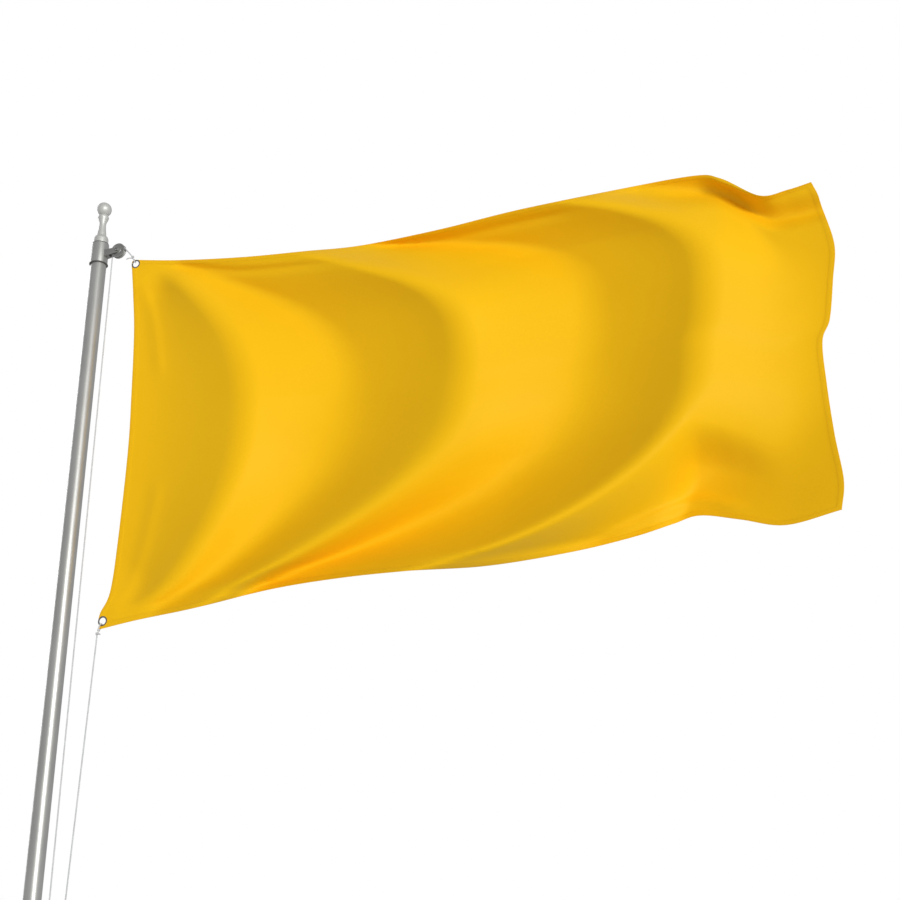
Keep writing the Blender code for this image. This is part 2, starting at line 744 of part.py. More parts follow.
def make_knot(name, height, hoist):
    """The lump of a knot, turned about the hoist line so that the flag's loop can swing round it."""
    angles = np.linspace(0, math.pi, 9)
    profile = [(KNOT_R * math.sin(a), -KNOT_HALF_HEIGHT * math.cos(a)) for a in angles]
    profile[0] = (0.0, -KNOT_HALF_HEIGHT)
    profile[-1] = (0.0, KNOT_HALF_HEIGHT)
    add_object(name, mesh_from(turned(profile, 16), name), "rope", (HOIST_X, 0, height), hoist)


def make_tie_loop(name, knot_z, grommet_z, flag_empty):
    """A rope loop from the knot through the grommet's hole and back on the other side."""
    knot = np.array((HOIST_X, 0.0, knot_z))
    hole = np.array((GROMMET_X, 0.0, grommet_z))
    reach = float(np.linalg.norm(knot - hole))
    out = (knot - hole) / reach
    across = np.array((0.0, 1.0, 0.0))
    inside = GROMMET_HOLE_R - ROPE_R - TIE_CLEARANCE
    side = GROMMET_THICK / 2 + ROPE_R + TIE_CLEARANCE
    end = reach - KNOT_R - TIE_CLEARANCE
    half = (
        (inside, 0.0),
        (inside + 0.0012, 0.65 * side),
        (inside + 0.0045, side),
        (0.5 * (inside + end) + 0.002, side + 0.0002),
        (end, 0.72 * side),
    )
    front = [hole + out * s - across * y for s, y in reversed(half)]
    back = [hole + out * s + across * y for s, y in half[1:]]
    rope(name, smooth_line([*front, *back], 25), flag_empty)


# ---------------------------------------------------------------- flag


def edge_at(points, share):
    """Points of an edge at shares of its length, along a smooth line, as (x, z)."""
    line = smooth_line(points, 400) * (FLAG_REACH, GROMMET_SPACING) + (HOIST_X, GROMMET_BOTTOM_Z)
    length = np.concatenate([[0], np.cumsum(np.hypot(*np.diff(line, axis=0).T))])
    return np.stack([np.interp(share * length[-1], length, line[:, k]) for k in (0, 1)], axis=-1)


def flat_flag(u, v):
    """Coons patch between the four edges: u runs from hoist to fly, v from bottom to top."""
    top, bottom = edge_at(TOP_EDGE, u), edge_at(BOTTOM_EDGE, u)
    hoist, fly = edge_at(HOIST_EDGE, v), edge_at(FLY_EDGE, v)
    low_near, low_far = edge_at(BOTTOM_EDGE, np.array((0.0, 1.0)))
    high_near, high_far = edge_at(TOP_EDGE, np.array((0.0, 1.0)))
    u, v = u[..., None], v[..., None]
    across = (1 - v) * bottom + v * top + (1 - u) * hoist + u * fly
    return across - (1 - v) * ((1 - u) * low_near + u * low_far) - v * ((1 - u) * high_near + u * high_far)


def fold_place(line, v):
    """Where a fold line is along the flag at height v: its bow grows towards both edges."""
    middle, pull, power = line[:3]
    edge = np.abs(2 * v - 1)
    return middle * np.where(v > 0.5, 1 - pull[0] * edge ** power[0], 1 - pull[1] * edge ** power[1])


def sharp_wave(u, v):
    """Depth of the waves: a cubic from line to line, about as steep everywhere at one height."""
    order = np.arange(len(FOLD_LINES))[:, None, None] * LINE_SPACING
    places = np.stack([fold_place(line, v) for line in FOLD_LINES])
    places = np.maximum.accumulate(places - order, axis=0) + order
    padded = np.concatenate([places[:1] - 0.08, places, places[-1:] + 0.1])
    sign = np.array([line[4] * (-1) ** k for k, line in enumerate(FOLD_LINES)])[:, None, None]
    edge = np.abs(2 * v - 1)
    slope = WAVE_SLOPE * (1 + STEEPER_TOWARDS_EDGES * (edge**2 - edge**8))
    gaps = np.diff(padded, axis=0)
    depths = sign * slope * FLAG_REACH * np.minimum(gaps[:-1], gaps[1:]) / 2
    depth = np.where(u < places[0], depths[0], 0.0)
    for k, (line, following) in enumerate(zip(FOLD_LINES, FOLD_LINES[1:])):
        t = np.clip((u - places[k]) / (places[k + 1] - places[k]), 0, 1)
        rise = t * t * (3 - 2 * t) + line[3] * (t**3 - 2 * t**2 + t) + following[3] * (t**3 - t**2)
        inside = (u >= places[k]) & (u < places[k + 1])
        depth = np.where(inside, depths[k] + (depths[k + 1] - depths[k]) * rise, depth)
    return depth


def wave(u, v):
    """Depth of the waves, averaged over a short way along the flag."""
    offsets = WAVE_EASE * np.linspace(-1, 1, 7)
    return sum(sharp_wave(u + offset, v) for offset in offsets) / len(offsets)


def calm_at_grommets(x, z):
    """0 on the stiff corner patches round the grommets, rising to 1 on the free cloth."""
    heights = (GROMMET_TOP_Z, GROMMET_BOTTOM_Z)
    near = np.minimum(*[np.hypot(x - GROMMET_X, z - height) for height in heights])
    t = np.clip((near - 0.05) / 0.18, 0, 1)
    return t * t * (3 - 2 * t)


def flag_surface(columns, rows):
    """The flag's middle surface as a grid of points."""
    u, v = np.meshgrid(np.linspace(0, 1, columns + 1), np.linspace(0, 1, rows + 1), indexing="ij")
    flat = flat_flag(u, v)
    x, z = flat[..., 0], flat[..., 1]
    depth = wave(u, v) * calm_at_grommets(x, z)
    points = np.stack([x, np.zeros_like(x), z], axis=-1)
    return FAN_POINT + (points - FAN_POINT) * (1 - depth / FAN_POINT[1])[..., None]


def sheet_mesh(points, thickness):
    """A closed sheet of even thickness about a grid of points."""
    columns, rows = points.shape[:2]
    along = np.gradient(points, axis=0)
    up = np.gradient(points, axis=1)
    normal = np.cross(along, up)
    normal /= np.linalg.norm(normal, axis=-1, keepdims=True)
    bm = bmesh.new()
    sides = []
    for offset in (-thickness / 2, thickness / 2):
        grid = points + normal * offset
        sides.append([[bm.verts.new(grid[i, j]) for j in range(rows)] for i in range(columns)])
    back, front = sides
    for i in range(columns - 1):
        for j in range(rows - 1):
            for face in (front, back):
                bm.faces.new((face[i][j], face[i + 1][j], face[i + 1][j + 1], face[i][j + 1]))
    rim = [(i, 0) for i in range(columns)] + [(columns - 1, j) for j in range(1, rows)]
    rim += [(i, rows - 1) for i in range(columns - 2, -1, -1)] + [(0, j) for j in range(rows - 2, 0, -1)]
    for (a, b), (c, d) in zip(rim, rim[1:] + rim[:1]):
        bm.faces.new((front[a][b], front[c][d], back[c][d], back[a][b]))
    bmesh.ops.triangulate(bm, faces=bm.faces)
    return bm


def make_flag(flag_empty):
    """The cloth, with a hole for each grommet."""
    cloth = sheet_mesh(flag_surface(FLAG_COLUMNS, FLAG_ROWS), FLAG_THICK)
    bm = moved(cloth, Matrix.Translation(-flag_empty.location))
    flag = add_object("flag", mesh_from(bm, "flag"), "yellow_cloth", flag_empty.location, flag_empty)
    hole = rod_profile(GROMMET_BARREL_R + GAP, -0.02, 0.02)
    holes = [
        moved(turned(hole, 20, "Y"), Matrix.Translation((GROMMET_X, 0, z)))
        for z in (GROMMET_TOP_Z, GROMMET_BOTTOM_Z)
    ]
    cut(flag, group(*holes), "grommet_hole_cutter")


def make_grommet(name, height, flag_empty):
    """A rolled eyelet that grips the cloth in a groove."""
    half = GROMMET_THICK / 2
    lip = FLAG_THICK / 2 + GAP
    profile = (
        (GROMMET_HOLE_R, -half + 0.0005),
        (GROMMET_HOLE_R + 0.0008, -half),
        (GROMMET_R - 0.001, -half),
        (GROMMET_R, -lip - 0.0003),
        (GROMMET_R, -lip),
        (GROMMET_BARREL_R, -lip),
        (GROMMET_BARREL_R, lip),
        (GROMMET_R, lip),
        (GROMMET_R, lip + 0.0003),
        (GROMMET_R - 0.001, half),
        (GROMMET_HOLE_R + 0.0008, half),
        (GROMMET_HOLE_R, half - 0.0005),
    )
    ring = turned(profile, 20, "Y")
    add_object(name, mesh_from(ring, name), "steel", (GROMMET_X, 0, height), flag_empty)


def add_pivot(name, place):
    """An empty that marks a moving body's joint."""
    pivot = bpy.data.objects.new(name, None)
    bpy.context.scene.collection.objects.link(pivot)
    pivot.location = place
    return pivot


def main():
    """Build every sub-part."""
    clear_scene()
    make_base_plate()
    make_base_socket()
    make_gussets()
    make_socket_screws()
    make_pole()
    make_cleat()
    make_truck()
    make_bracket()
    make_axle()
    make_finial()
    make_sheave(add_pivot("sheave_pivot", (AXLE_X, 0, AXLE_Z)))
    hoist = add_pivot("hoist_carrier", (HOIST_X, 0, TOP_KNOT_Z))
    flag_empty = add_pivot("flag_pivot", (HOIST_X, 0, TOP_KNOT_Z))
    make_halyard_run()
    make_halyard_hitch()
    make_halyard_lead(hoist)
    make_halyard_fall(hoist)
    make_knot("top_knot", TOP_KNOT_Z, hoist)
    make_knot("bottom_knot", BOTTOM_KNOT_Z, hoist)
    make_tie_loop("top_tie_loop", TOP_KNOT_Z, GROMMET_TOP_Z, flag_empty)
    make_tie_loop("bottom_tie_loop", BOTTOM_KNOT_Z, GROMMET_BOTTOM_Z, flag_empty)
    make_flag(flag_empty)
    make_grommet("grommet_top", GROMMET_TOP_Z, flag_empty)
    make_grommet("grommet_bottom", GROMMET_BOTTOM_Z, flag_empty)


main()
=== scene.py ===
"""Looks of a yellow flag on a sectional aluminium flagpole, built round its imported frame.

Metres, +Z up. The origin is the centre of the base plate's underside. +X points from the pole's axis
to the pulley bracket and along the flying flag, and +Y points to the back of the flag.
"""

import logging
import math
from dataclasses import dataclass, field
from enum import Enum

import bpy
import numpy as np
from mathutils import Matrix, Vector


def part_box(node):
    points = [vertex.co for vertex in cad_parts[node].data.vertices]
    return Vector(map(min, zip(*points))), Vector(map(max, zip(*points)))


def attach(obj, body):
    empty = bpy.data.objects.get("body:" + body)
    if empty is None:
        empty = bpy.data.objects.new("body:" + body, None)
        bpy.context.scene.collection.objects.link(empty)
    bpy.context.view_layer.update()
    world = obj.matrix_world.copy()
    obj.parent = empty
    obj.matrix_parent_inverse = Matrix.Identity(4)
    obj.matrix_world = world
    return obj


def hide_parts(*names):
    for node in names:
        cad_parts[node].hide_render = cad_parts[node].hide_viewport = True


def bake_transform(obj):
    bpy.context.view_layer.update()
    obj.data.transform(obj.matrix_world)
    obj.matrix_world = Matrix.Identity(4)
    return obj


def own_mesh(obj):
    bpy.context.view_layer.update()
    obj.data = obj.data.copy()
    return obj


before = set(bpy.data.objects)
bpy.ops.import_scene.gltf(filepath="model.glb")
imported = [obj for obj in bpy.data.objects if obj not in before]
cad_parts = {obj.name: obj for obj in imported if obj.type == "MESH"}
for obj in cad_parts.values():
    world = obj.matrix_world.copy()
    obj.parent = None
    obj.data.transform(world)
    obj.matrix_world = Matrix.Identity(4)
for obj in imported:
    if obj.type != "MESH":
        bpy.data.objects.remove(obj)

log = logging.getLogger("flagpole")
GAP = 0.0003  # between faces that sit on each other
VIEW_POINT = (2.676, -3.757, 3.549)  # where the camera stands, and where the cloth's rays fan out from
HOIST_CORNERS = ("top", "bottom")
EYE_RADIUS = 0.0125  # a grommet's clear hole
HEM = 0.020  # the width of the flag's hem
GROOVE_DEPTH = 0.007  # of the sheave
PLAITS = 8  # round the rope
PLAIT_PITCH = 0.0125  # the length in which a plait goes once round

Array = np.ndarray
Colour = tuple[float, float, float]
Point = tuple[float, float, float]


class Body(Enum):
    """The bodies of the frame that pieces ride on."""

    POLE = "pole"
    SHEAVE = "sheave"
    HOIST = "hoist"
    FLAG = "flag"


class Axis(Enum):
    """The axis that a turned piece is turned about."""

    X = 0
    Y = 1
    Z = 2


class Slot(Enum):
    """The record's material slots."""

    SATIN = "satin_aluminium"
    CAST = "cast_aluminium"
    ZINC = "galvanised_steel"
    STAINLESS = "stainless_steel"
    EYELET = "eyelet_steel"
    RUBBER = "black_rubber"
    BRONZE = "bronze"
    ROPE = "braided_rope"
    CLOTH = "yellow_polyester"


@dataclass(frozen=True)
class Box:
    """A CAD node's box in the row frame."""

    low: Array
    high: Array

    @property
    def centre(self) -> Array:
        """The middle of the box."""
        return (self.low + self.high) / 2

    @property
    def size(self) -> Array:
        """The lengths of the box's sides."""
        return self.high - self.low

    @classmethod
    def of(cls, node: str) -> "Box":
        """Read a node's box from the frame."""
        low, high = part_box(node)
        return cls(np.array(low), np.array(high))


# ---------------------------------------------------------------- meshes


def grid_quads(columns: int, rows: int, wrap_columns: bool, wrap_rows: bool) -> Array:
    """Corner numbers of the quads between the points of a grid.

    Args:
        columns: Number of points along the first direction.
        rows: Number of points along the second direction.
        wrap_columns: Whether the last column joins the first.
        wrap_rows: Whether the last row joins the first.

    Returns:
        An (n, 4) array of point numbers, in which a point's number is column * rows + row.
    """
    i, j = np.meshgrid(
        np.arange(columns if wrap_columns else columns - 1),
        np.arange(rows if wrap_rows else rows - 1),
        indexing="ij",
    )
    i2, j2 = (i + 1) % columns, (j + 1) % rows
    corners = (i * rows + j, i * rows + j2, i2 * rows + j2, i2 * rows + j)
    return np.stack([c.ravel() for c in corners], axis=-1)


def signed_volume(points: Array, faces: list[Array]) -> float:
    """Volume inside a closed mesh, negative when its faces point inwards."""
    total = 0.0
    for polygons in faces:
        for k in range(1, polygons.shape[1] - 1):
            a, b, c = (points[polygons[:, n]] for n in (0, k, k + 1))
            total += float(np.einsum("ij,ij->i", a, np.cross(b, c)).sum())
    return total / 6


def linked(name: str, data: bpy.types.ID) -> bpy.types.Object:
    """A new object in the scene for a mesh, light or camera."""
    obj = bpy.data.objects.new(name, data)
    bpy.context.scene.collection.objects.link(obj)
    return obj


def shade(mesh: bpy.types.Mesh, crease: float) -> None:
    """Shade a mesh smooth, but sharp on edges that turn by more than crease degrees."""
    mesh.shade_smooth()
    mesh.set_sharp_from_angle(angle=math.radians(crease))


def bake_modifiers(obj: bpy.types.Object) -> None:
    """Give an object the mesh that its modifiers make, and drop the modifiers."""
    bpy.context.view_layer.update()
    evaluated = obj.evaluated_get(bpy.context.evaluated_depsgraph_get())
    mesh = bpy.data.meshes.new_from_object(evaluated)
    obj.modifiers.clear()
    obj.data = mesh


def smooth_step(t: Array) -> Array:
    """0 to 1 as t goes from 0 to 1, level at both ends."""
    return t * t * (3 - 2 * t)


def mesh_object(
    name: str, points: Array, faces: list[Array], uv: Array | None = None, crease: float = 40
) -> bpy.types.Object:
    """Make an object from points and arrays of triangles or quads, its faces turned outwards.

    Args:
        name: The piece's name.
        points: (n, 3) places in the row frame.
        faces: Arrays of point numbers, one array for each number of corners.
        uv: (n, 2) surface coordinates of the points, in metres where a pattern follows them.
        crease: Angle between faces, in degrees, past which an edge is shaded sharp.

    Returns:
        The new object, at the origin.
    """
    if signed_volume(points, faces) < 0:
        faces = [polygons[:, ::-1] for polygons in faces]
    mesh = bpy.data.meshes.new(name)
    corners = np.concatenate([polygons.ravel() for polygons in faces]).astype(np.int32)
    counts = np.concatenate([np.full(len(polygons), polygons.shape[1]) for polygons in faces])
    starts = np.concatenate([[0], np.cumsum(counts)[:-1]]).astype(np.int32)
    mesh.vertices.add(len(points))
    mesh.vertices.foreach_set("co", points.astype(np.float32).ravel())
    mesh.loops.add(len(corners))
    mesh.loops.foreach_set("vertex_index", corners)
    mesh.polygons.add(len(counts))
    mesh.polygons.foreach_set("loop_start", starts)
    mesh.update(calc_edges=True)
    mesh.validate()
    if uv is not None:
        layer = mesh.uv_layers.new(name="UVMap")
        layer.data.foreach_set("uv", uv[corners].astype(np.float32).ravel())
    shade(mesh, crease)
    return linked(name, mesh)


def skin(
    name: str, rings: Array, closed: bool = False, uv: Array | None = None, crease: float = 40
) -> bpy.types.Object:
    """Make a closed surface through rings of points.

    Neighbouring rings are joined by quads. An open row of rings gets a fan of triangles to the middle of
    its first and of its last ring, and a closed row joins its last ring to its first.

    Args:
        name: The piece's name.
        rings: (rings, points in a ring, 3) places.
        closed: Whether the row of rings closes on itself.
        uv: (rings, points in a ring, 2) surface coordinates.
        crease: Angle past which an edge is shaded sharp, in degrees.

    Returns:
        The new object.
    """
    count, around = rings.shape[:2]
    quads = grid_quads(count, around, closed, True)
    points = rings.reshape(-1, 3)
    coordinates = None if uv is None else uv.reshape(-1, 2)
    if closed:
        return mesh_object(name, points, [quads], coordinates, crease)
    step = np.arange(around)
    following = (step + 1) % around
    tips = np.stack([rings[0].mean(axis=0), rings[-1].mean(axis=0)])
    first, last = count * around, count * around + 1
    fans = np.concatenate(
        [
            np.stack([np.full(around, first), following, step], axis=-1),
            np.stack([np.full(around, last), step + first - around, following + first - around], axis=-1),
        ]
    )
    if coordinates is not None:
        coordinates = np.concatenate([coordinates, uv[0].mean(axis=0)[None], uv[-1].mean(axis=0)[None]])
    return mesh_object(name, np.concatenate([points, tips]), [quads, fans], coordinates, crease)


def rounded(profile: list[tuple[float, float]], radius: float, steps: int = 4, closed: bool = False) -> Array:
    """Round the corners of a polyline.

    Each corner is replaced by a quadratic curve that starts and ends one radius away along its two
    sides, or at two fifths of a shorter side, and that bends towards the corner.

    Args:
        profile: The corners.
        radius: How far from each corner its curve starts.
        steps: Number of pieces of each curve.
        closed: Whether the last corner joins the first.

    Returns:
        The points of the rounded line.
    """
    corners = np.array(profile, dtype=float)
    before = np.roll(corners, 1, axis=0) - corners
    after = np.roll(corners, -1, axis=0) - corners
    reach = [
        side / np.linalg.norm(side, axis=1, keepdims=True)
        * np.minimum(radius, 0.4 * np.linalg.norm(side, axis=1, keepdims=True))
        for side in (before, after)
    ]
    t = np.linspace(0, 1, steps + 1)[None, :, None]
    start, end = (corners + reach[0])[:, None], (corners + reach[1])[:, None]
    curves = (1 - t) ** 2 * start + 2 * t * (1 - t) * corners[:, None] + t**2 * end
    if not closed:
        return np.concatenate([corners[:1], curves[1:-1].reshape(-1, 2), corners[-1:]])
    return curves.reshape(-1, 2)


def polygon_reach(angle: Array, sides: int) -> Array:
    """Distance to the side of a regular polygon of unit inner radius, in each direction."""
    sector = 2 * math.pi / sides
    return 1 / np.cos((angle + sector / 2) % sector - sector / 2)


@dataclass
class Turned:
    """A piece turned about an axis: each profile point (radius, height) sweeps a ring."""

    name: str
    profile: Array
    centre: Point = (0.0, 0.0, 0.0)
    axis: Axis = Axis.Z
    sides: int = 96
    ring: bool = False
    hexagon_from: int | None = None
    hexagon_to: int | None = None
    turn: float = 0.0

    def make(self) -> bpy.types.Object:
        """Sweep the profile.

        Ring k has the points radius_k * (cos a, sin a) at height_k, for angles a all round. Rings from
        hexagon_from up to hexagon_to are stretched to a hexagon of that inner radius.

        Returns:
            The new object.
        """
        angle = np.linspace(0, 2 * math.pi, self.sides, endpoint=False)
        radius = np.repeat(self.profile[:, :1], self.sides, axis=1)
        if self.hexagon_from is not None:
            radius[self.hexagon_from : self.hexagon_to] *= polygon_reach(angle, 6)
        height = np.repeat(self.profile[:, 1:], self.sides, axis=1)
        flat = (radius * np.cos(angle + self.turn), radius * np.sin(angle + self.turn), height)
        order = {Axis.Z: (0, 1, 2), Axis.X: (2, 0, 1), Axis.Y: (1, 2, 0)}[self.axis]
        rings = np.stack([flat[k] for k in order], axis=-1) + np.array(self.centre)
        return skin(self.name, rings, closed=self.ring)


def tube_section(inner: float, outer: float, low: float, high: float, ease: float) -> Array:
    """The closed section of a tube with rounded ends, as (radius, height)."""
    return rounded([(inner, low), (outer, low), (outer, high), (inner, high)], ease, closed=True)


def smooth_line(points: Array | list, samples: int) -> Array:
    """A Catmull-Rom curve through points, sampled evenly in its parameter.

    Args:
        points: The points that the curve passes through.
        samples: Number of points to return.

    Returns:
        The sampled points.
    """
    p = np.asarray(points, dtype=float)
    padded = np.vstack([2 * p[0] - p[1], p, 2 * p[-1] - p[-2]])
    t = np.linspace(0, len(p) - 1, samples)
    i = np.minimum(t.astype(int), len(p) - 2)
    f = (t - i)[:, None]
    a, b, c, d = (padded[i + k] for k in range(4))
    return 0.5 * (2 * b + (c - a) * f + (2 * a - 5 * b + 4 * c - d) * f**2 + (3 * b - a - 3 * c + d) * f**3)


def arc_length(points: Array) -> Array:
    """Distance along a line of points, starting at 0."""
    return np.concatenate([[0.0], np.cumsum(np.linalg.norm(np.diff(points, axis=0), axis=1))])


def respaced(points: Array, step: float) -> Array:
    """Points at even distances of about step along a smooth curve through the given points."""
    line = smooth_line(points, 8 * len(points))
    length = arc_length(line)
    count = max(4, int(round(length[-1] / step)) + 1)
    places = np.linspace(0, length[-1], count)
    return np.stack([np.interp(places, length, line[:, k]) for k in range(3)], axis=-1)


def carried_frames(line: Array) -> tuple[Array, Array]:
    """Two unit directions across a line at each of its points, which don't twist along it.

    The first is the Y direction, or X where the line runs along Y, less its share along the tangent.

    Args:
        line: (n, 3) points.

    Returns:
        The two (n, 3) arrays of directions.
    """
    tangent = np.gradient(line, axis=0)
    tangent /= np.linalg.norm(tangent, axis=1, keepdims=True)
    across = np.zeros_like(tangent)
    guide = np.array((0.0, 1.0, 0.0)) if abs(tangent[0, 1]) < 0.9 else np.array((1.0, 0.0, 0.0))
    for k, along in enumerate(tangent):
        guide = guide - along * float(guide @ along)
        guide /= np.linalg.norm(guide)
        across[k] = guide
    return across, np.cross(tangent, across)


@dataclass
class BraidedRope:
    """A round braided rope along a line, with the ribs of its plaits raised on its surface."""

    name: str
    line: Array
    radius: float
    step: float = 0.004
    sides: int = 16
    rib: float = 0.05
    round_ends: bool = False

    def make(self) -> bpy.types.Object:
        """Carry a ring along the line.

        The ring's radius at angle a and length s is radius * (1 - rib * (1 - crown)), in which crown is the
        higher of two families of crossing plaits, each the size of a sine of PLAITS * a plus or minus s.

        Returns:
            The rope's mesh, with UV (turn, metres along).
        """
        line = respaced(self.line, self.step)
        first, second = carried_frames(line)
        length = arc_length(line)
        angle = np.linspace(0, 2 * math.pi, self.sides, endpoint=False)
        a, s = angle[None, :], length[:, None]
        lay = 2 * math.pi * s / PLAIT_PITCH
        crown = np.maximum(np.abs(np.sin((PLAITS * a + lay) / 2)), np.abs(np.sin((PLAITS * a - lay) / 2)))
        radius = self.radius * (1 - self.rib * (1 - crown))
        if self.round_ends:
            nearest = np.minimum(length, length[-1] - length)[:, None]
            inward = np.clip(1 - nearest / self.radius, 0, 1)
            radius = radius * np.sqrt(np.clip(1 - inward**2, 0.02, 1))
        ring = np.cos(a)[..., None] * first[:, None] + np.sin(a)[..., None] * second[:, None]
        rings = line[:, None] + ring * radius[..., None]
        uv = np.stack(np.broadcast_arrays(a / (2 * math.pi), s), axis=-1)
        return skin(self.name, rings, uv=uv, crease=180)


def softened(node: str, width: float, segments: int = 3) -> bpy.types.Object:
    """A copy of a CAD node with its doubles merged, its flat faces joined and its edges rounded.

    Args:
        node: The CAD node to copy.
        width: Width of the rounded edges.
        segments: Number of faces across a rounded edge.

    Returns:
        The new object, named after the node.
    """
    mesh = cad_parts[node].data.copy()
    mesh.materials.clear()
    obj = linked(f"{node}_shape", mesh)
    weld = obj.modifiers.new("merge", "WELD")
    weld.merge_threshold = 1e-6
    flats = obj.modifiers.new("flats", "DECIMATE")
    flats.decimate_type = "DISSOLVE"
    flats.angle_limit = math.radians(1)
    edges = obj.modifiers.new("edges", "BEVEL")
    edges.width = width
    edges.segments = segments
    edges.limit_method = "ANGLE"
    edges.angle_limit = math.radians(35)
    edges.harden_normals = False
    bake_modifiers(obj)
    shade(obj.data, 32)
    return obj


def belongs(
    obj: bpy.types.Object, body: Body, slot: Slot, material: bpy.types.Material, *nodes: str
) -> bpy.types.Object:
    """Dress a finished piece, put it on its body and let it stand for its CAD nodes.

    Args:
        obj: The piece.
        body: The body that it rides on.
        slot: The record's material slot of its finish; not used.
        material: Its material.
        nodes: The CAD nodes that it stands for.

    Returns:
        The same piece.
    """
    obj.data.materials.clear()
    obj.data.materials.append(material)
    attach(obj, body.value)
    if nodes:
        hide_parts(*nodes)
    log.info("%s rides on %s", obj.name, body.value)
    return obj


# ---------------------------------------------------------------- shader groups


class Nodes:
    """A node tree with short ways to add and join nodes."""

    def __init__(self, tree: bpy.types.NodeTree) -> None:
        """Keep the tree."""
        self.tree = tree

    def add(self, kind: str, inputs: dict | None = None, **settings: object) -> bpy.types.Node:
        """Add a node, set its properties, and set or link its inputs.

        Args:
            kind: The node's type name without ShaderNode.
            inputs: Values, or output sockets, by input name or number.
            settings: Properties of the node.

        Returns:
            The node.
        """
        node = self.tree.nodes.new(f"ShaderNode{kind}")
        for key, value in settings.items():
            setattr(node, key, value)
        for key, value in (inputs or {}).items():
            if isinstance(value, bpy.types.NodeSocket):
                self.tree.links.new(value, node.inputs[key])
            else:
                node.inputs[key].default_value = value
        return node

    def maths(self, operation: str, *values: object) -> bpy.types.NodeSocket:
        """A Math node's result."""
        return self.add("Math", dict(enumerate(values)), operation=operation).outputs[0]

    def ramp(
        self, value: bpy.types.NodeSocket, low: float, high: float, start: float = 0.0, end: float = 1.0
    ) -> bpy.types.NodeSocket:
        """A value between low and high taken smoothly to between start and end."""
        inputs = {"Value": value, "From Min": low, "From Max": high, "To Min": start, "To Max": end}
        return self.add("MapRange", inputs, interpolation_type="SMOOTHSTEP").outputs["Result"]

    def blend(self, factor: object, first: object, second: object) -> bpy.types.NodeSocket:
        """The first colour turned to the second by a factor."""
        node = self.add("Mix", {"Factor": factor}, data_type="RGBA")
        for name, value in (("A_Color", first), ("B_Color", second)):
            socket = next(s for s in node.inputs if s.identifier == name)
            if isinstance(value, bpy.types.NodeSocket):
                self.tree.links.new(value, socket)
            else:
                socket.default_value = (*value, 1.0)
        return next(s for s in node.outputs if s.identifier == "Result_Color")


def new_group(
    name: str, inputs: dict[str, tuple[str, object]], outputs: dict[str, str]
) -> tuple[bpy.types.NodeTree, Nodes, bpy.types.Node, bpy.types.Node]:
    """A shader node group with named sockets.

    Args:
        name: The group's name.
        inputs: Socket type and default value by name.
        outputs: Socket type by name.

    Returns:
        The group, its Nodes helper, and its input and output nodes.
    """
    tree = bpy.data.node_groups.new(name, "ShaderNodeTree")
    for key, (kind, value) in inputs.items():
        socket = tree.interface.new_socket(key, in_out="INPUT", socket_type=f"NodeSocket{kind}")
        if value is not None:
            socket.default_value = value
    for key, kind in outputs.items():
        tree.interface.new_socket(key, in_out="OUTPUT", socket_type=f"NodeSocket{kind}")
    entry, leave = tree.nodes.new("NodeGroupInput"), tree.nodes.new("NodeGroupOutput")
    return tree, Nodes(tree), entry, leave


def make_grain_group() -> bpy.types.NodeTree:
    """Fine grain, stretched by a scale for each axis: a noise round 0.5, and a broad one for stains.

    Returns:
        The group.
    """
    tree, nodes, entry, leave = new_group(
        "metal_grain",
        {"Vector": ("Vector", None), "Scale": ("Vector", (1, 1, 1)), "Stain Scale": ("Float", 3.0)},
        {"Grain": "Float", "Stain": "Float"},
    )
    place = entry.outputs["Vector"]
    scaled = nodes.add("VectorMath", {0: place, 1: entry.outputs["Scale"]}, operation="MULTIPLY").outputs[0]
    grain = nodes.add("TexNoise", {"Vector": scaled, "Scale": 1.0, "Detail": 5.0, "Roughness": 0.6})
    stain = nodes.add("TexNoise", {"Vector": place, "Scale": entry.outputs["Stain Scale"], "Detail": 4.0})
    tree.links.new(grain.outputs[0], leave.inputs["Grain"])
    tree.links.new(nodes.ramp(stain.outputs[0], 0.35, 0.68), leave.inputs["Stain"])
    return tree


def make_scratch_group() -> bpy.types.NodeTree:
    """Short thin scratches: the edges of stretched, bent cells, thinned out by a broad noise.

    Returns:
        The group.
    """
    tree, nodes, entry, leave = new_group(
        "scratches", {"Vector": ("Vector", None), "Scale": ("Vector", (60, 60, 9))}, {"Mask": "Float"}
    )
    bend = nodes.add("TexNoise", {"Vector": entry.outputs["Vector"], "Scale": 14.0})
    bent = nodes.add("VectorMath", {0: entry.outputs["Vector"], 1: bend.outputs[1]}, operation="ADD")
    scaled = nodes.add("VectorMath", {0: bent.outputs[0], 1: entry.outputs["Scale"]}, operation="MULTIPLY")
    cells = nodes.add("TexVoronoi", {"Vector": scaled.outputs[0], "Scale": 1.0}, feature="DISTANCE_TO_EDGE")
    line = nodes.ramp(cells.outputs[0], 0.0, 0.035, 1.0, 0.0)
    where = nodes.add("TexNoise", {"Vector": entry.outputs["Vector"], "Scale": 9.0, "Detail": 3.0})
    mask = nodes.maths("MULTIPLY", line, nodes.ramp(where.outputs[0], 0.56, 0.70))
    tree.links.new(mask, leave.inputs["Mask"])
    return tree


